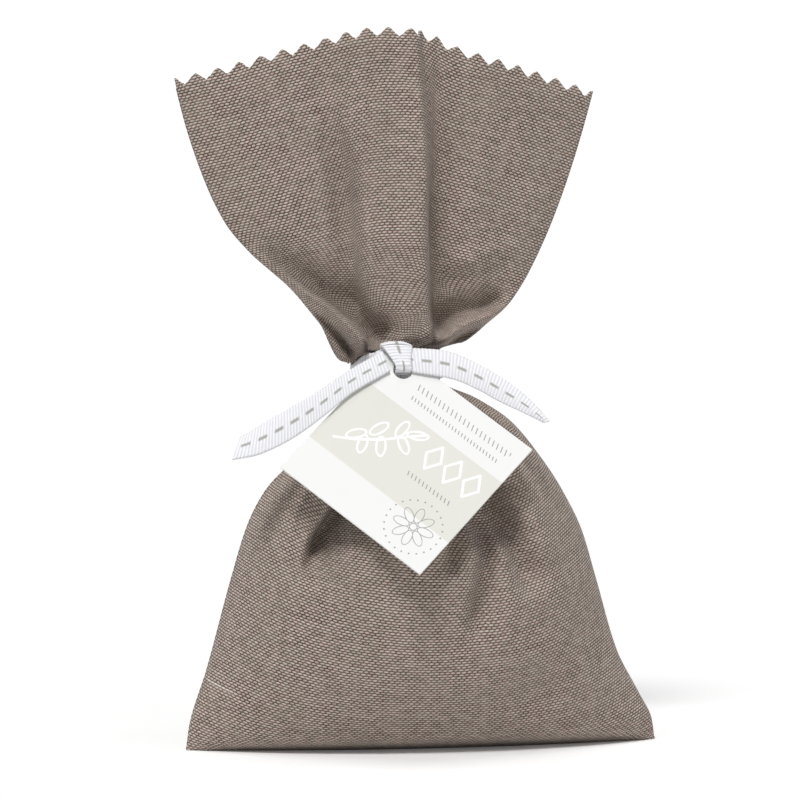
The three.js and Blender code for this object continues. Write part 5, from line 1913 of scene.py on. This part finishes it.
@dataclass(frozen=True)
class GranuleFinish:
    """Small round granules soaked with scent, with painted shade towards each granule's rim and in the gaps between
    them.
    """

    name: str
    light: Colour = (206, 180, 140)
    dark: Colour = (120, 94, 62)
    # Painted shade: the dark colour of the gaps between the granules.
    gap: Colour = (70, 52, 34)

    def material(self) -> bpy.types.Material:
        """Builds the granules' material.

        Returns:
            The material.
        """
        material, graph, shader = new_material(self.name)
        place = graph.add("ShaderNodeTexCoord").outputs["Object"]
        cells = graph.add("ShaderNodeTexVoronoi", {"Vector": place, "Scale": 480.0})
        bead_rise_and_shade = graph.ramp(cells.outputs["Distance"], 0.75, 0.1)
        own = graph.add("ShaderNodeSeparateColor", {0: cells.outputs["Color"]}).outputs[0]
        tone = graph.colour(own, linear(*self.dark), linear(*self.light))
        # Painted shade: each granule darkens towards its rim and into the gaps, by the same mask as its bump.
        graph.tree.links.new(graph.colour(bead_rise_and_shade, linear(*self.gap), tone), shader.inputs["Base Color"])
        graph.bump(shader, 0.9, 0.0008, bead_rise_and_shade)
        shader.inputs["Roughness"].default_value = 0.65
        return material


@dataclass(frozen=True)
class ThreadFinish:
    """Twisted sewing thread."""

    name: str
    tone: Colour = (150, 138, 128)

    def material(self) -> bpy.types.Material:
        """Builds the thread's material.

        Returns:
            The material.
        """
        material, graph, shader = new_material(self.name)
        place = graph.add("ShaderNodeTexCoord").outputs["Object"]
        inputs = {"Vector": place, "Scale": 900.0, "Distortion": 1.5}
        wave = graph.add("ShaderNodeTexWave", inputs, wave_type="BANDS", bands_direction="DIAGONAL")
        tone = graph.colour(wave.outputs["Fac"], linear(*(c * 0.7 for c in self.tone)), linear(*self.tone))
        graph.tree.links.new(tone, shader.inputs["Base Color"])
        graph.bump(shader, 0.5, 0.00004, wave.outputs["Fac"])
        shader.inputs["Roughness"].default_value = 0.8
        return material


# The studio


@dataclass(frozen=True)
class Lamp:
    """A distant lamp. Its direction is the way its light travels."""

    name: str
    direction: tuple[float, float, float]
    strength: float
    angle_deg: float

    def build(self) -> None:
        """Adds the lamp to the scene."""
        light = bpy.data.lights.new(self.name, "SUN")
        light.energy = self.strength
        light.angle = math.radians(self.angle_deg)
        lamp = bpy.data.objects.new(self.name, light)
        lamp.rotation_euler = Vector(self.direction).to_track_quat("-Z", "Y").to_euler()
        bpy.context.scene.collection.objects.link(lamp)


@dataclass(frozen=True)
class Studio:
    """The camera, the lamps, the white floor and the white room behind it."""

    camera_place: tuple[float, float, float] = (-0.1527, -0.8354, 0.1175)
    camera_look: tuple[float, float, float] = (0.1735, 0.9839, -0.0436)
    view_deg: float = 12.49
    ambient: float = 0.17
    backdrop: float = 1.05
    floor_glow: float = 0.08
    floor_reach: float = 12.0
    lamps: tuple[Lamp, ...] = (
        Lamp("key", (0.28, 0.55, -0.92), 1.93, 16),
        Lamp("fill", (-0.5, 0.85, -0.35), 0.16, 60),
        Lamp("top", (0.04, 0.06, -0.98), 0.92, 26),
    )

    def camera(self) -> None:
        """Adds the camera that sees the pouch as the photograph does."""
        data = bpy.data.cameras.new("camera")
        data.sensor_width = 36
        data.angle = math.radians(self.view_deg)
        data.clip_start, data.clip_end = 0.05, 50
        camera = bpy.data.objects.new("camera", data)
        camera.location = self.camera_place
        camera.rotation_euler = Vector(self.camera_look).to_track_quat("-Z", "Y").to_euler()
        bpy.context.scene.collection.objects.link(camera)
        bpy.context.scene.camera = camera

    def seen(self, graph: Graph) -> Socket:
        """Tells the rays that show the room itself from those that only light it.

        Args:
            graph: The graph to work on.

        Returns:
            1 for the first and 0 for the others.
        """
        path = graph.add("ShaderNodeLightPath")
        both = graph.math("MAXIMUM", path.outputs["Is Camera Ray"], path.outputs["Is Glossy Ray"])
        return graph.math("MAXIMUM", both, path.outputs["Is Transmission Ray"])

    def room(self) -> None:
        """Sets the white room around the object."""
        world = bpy.data.worlds.new("room")
        world.use_nodes = True
        bpy.context.scene.world = world
        graph = Graph(world.node_tree)
        back = next(node for node in world.node_tree.nodes if node.type == "BACKGROUND")
        back.inputs["Color"].default_value = (1, 1, 1, 1)
        level = graph.math("MULTIPLY", self.seen(graph), self.backdrop - self.ambient)
        level = graph.math("ADD", level, self.ambient)
        graph.tree.links.new(level, back.inputs["Strength"])

    def floor(self) -> None:
        """Adds the white floor, which keeps the pouch's shadow."""
        bm = bmesh.new()
        bmesh.ops.create_grid(bm, x_segments=1, y_segments=1, size=self.floor_reach)
        floor = link_mesh("floor", bm, smooth=False)
        material, graph, shader = new_material("white_floor")
        grain = graph.noise(graph.add("ShaderNodeTexCoord").outputs["Object"], 40.0)
        tone = graph.colour(grain, (0.93, 0.93, 0.93, 1), (0.95, 0.95, 0.95, 1))
        graph.tree.links.new(tone, shader.inputs["Base Color"])
        shader.inputs["Roughness"].default_value = 1.0
        shader.inputs["Specular IOR Level"].default_value = 0.0
        shader.inputs["Emission Color"].default_value = (1, 1, 1, 1)
        glow = graph.math("MULTIPLY", self.seen(graph), self.floor_glow)
        graph.tree.links.new(glow, shader.inputs["Emission Strength"])
        floor.data.materials.append(material)
        floor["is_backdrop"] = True

    def build(self) -> None:
        """Sets up the whole studio."""
        self.camera()
        self.room()
        self.floor()
        for lamp in self.lamps:
            lamp.build()
        bpy.context.scene.view_settings.view_transform = "Standard"


def keep_size(sizes: dict, word: str) -> None:
    """Writes the object's box down.

    Args:
        sizes: The boxes so far. The new one is added.
        word: The new box's name.
    """
    sizes[word] = [[float(number) for number in corner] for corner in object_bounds()]


def main() -> None:
    """Builds the sachet's looks on its frame."""
    logging.basicConfig(level=logging.INFO)
    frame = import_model()
    sizes: dict = {}
    keep_size(sizes, "frame")
    Studio().build()
    weave = plain_weave_group()
    linen = LinenFinish("linen_melange").material(weave)
    lining = LinenFinish("linen_inside", slub=False).material(weave)
    ribbon = RibbonFinish("stitched_ribbon").material(ribs_group())
    card = CardFinish("printed_card").material(stroke_group(), oval_group())
    thread = ThreadFinish("seam_thread").material()
    fleece = FleeceFinish("pressed_fleece").material()
    granules = GranuleFinish("scented_granule").material()
    pouch, tie = Pouch(), Tie()
    pieces = pouch.build(linen, lining, thread)
    pieces += Filling().build(pouch, fleece, granules)
    pieces += tie.build(frame, pouch, ribbon)
    pieces.append(CardTag().build(tie, card))
    for piece in pieces:
        LOG.info("%s: %d faces in %s", piece.name, len(piece.data.polygons), piece.data.materials[0].name)
    keep_size(sizes, "object")


if __name__ == "__main__":
    main()
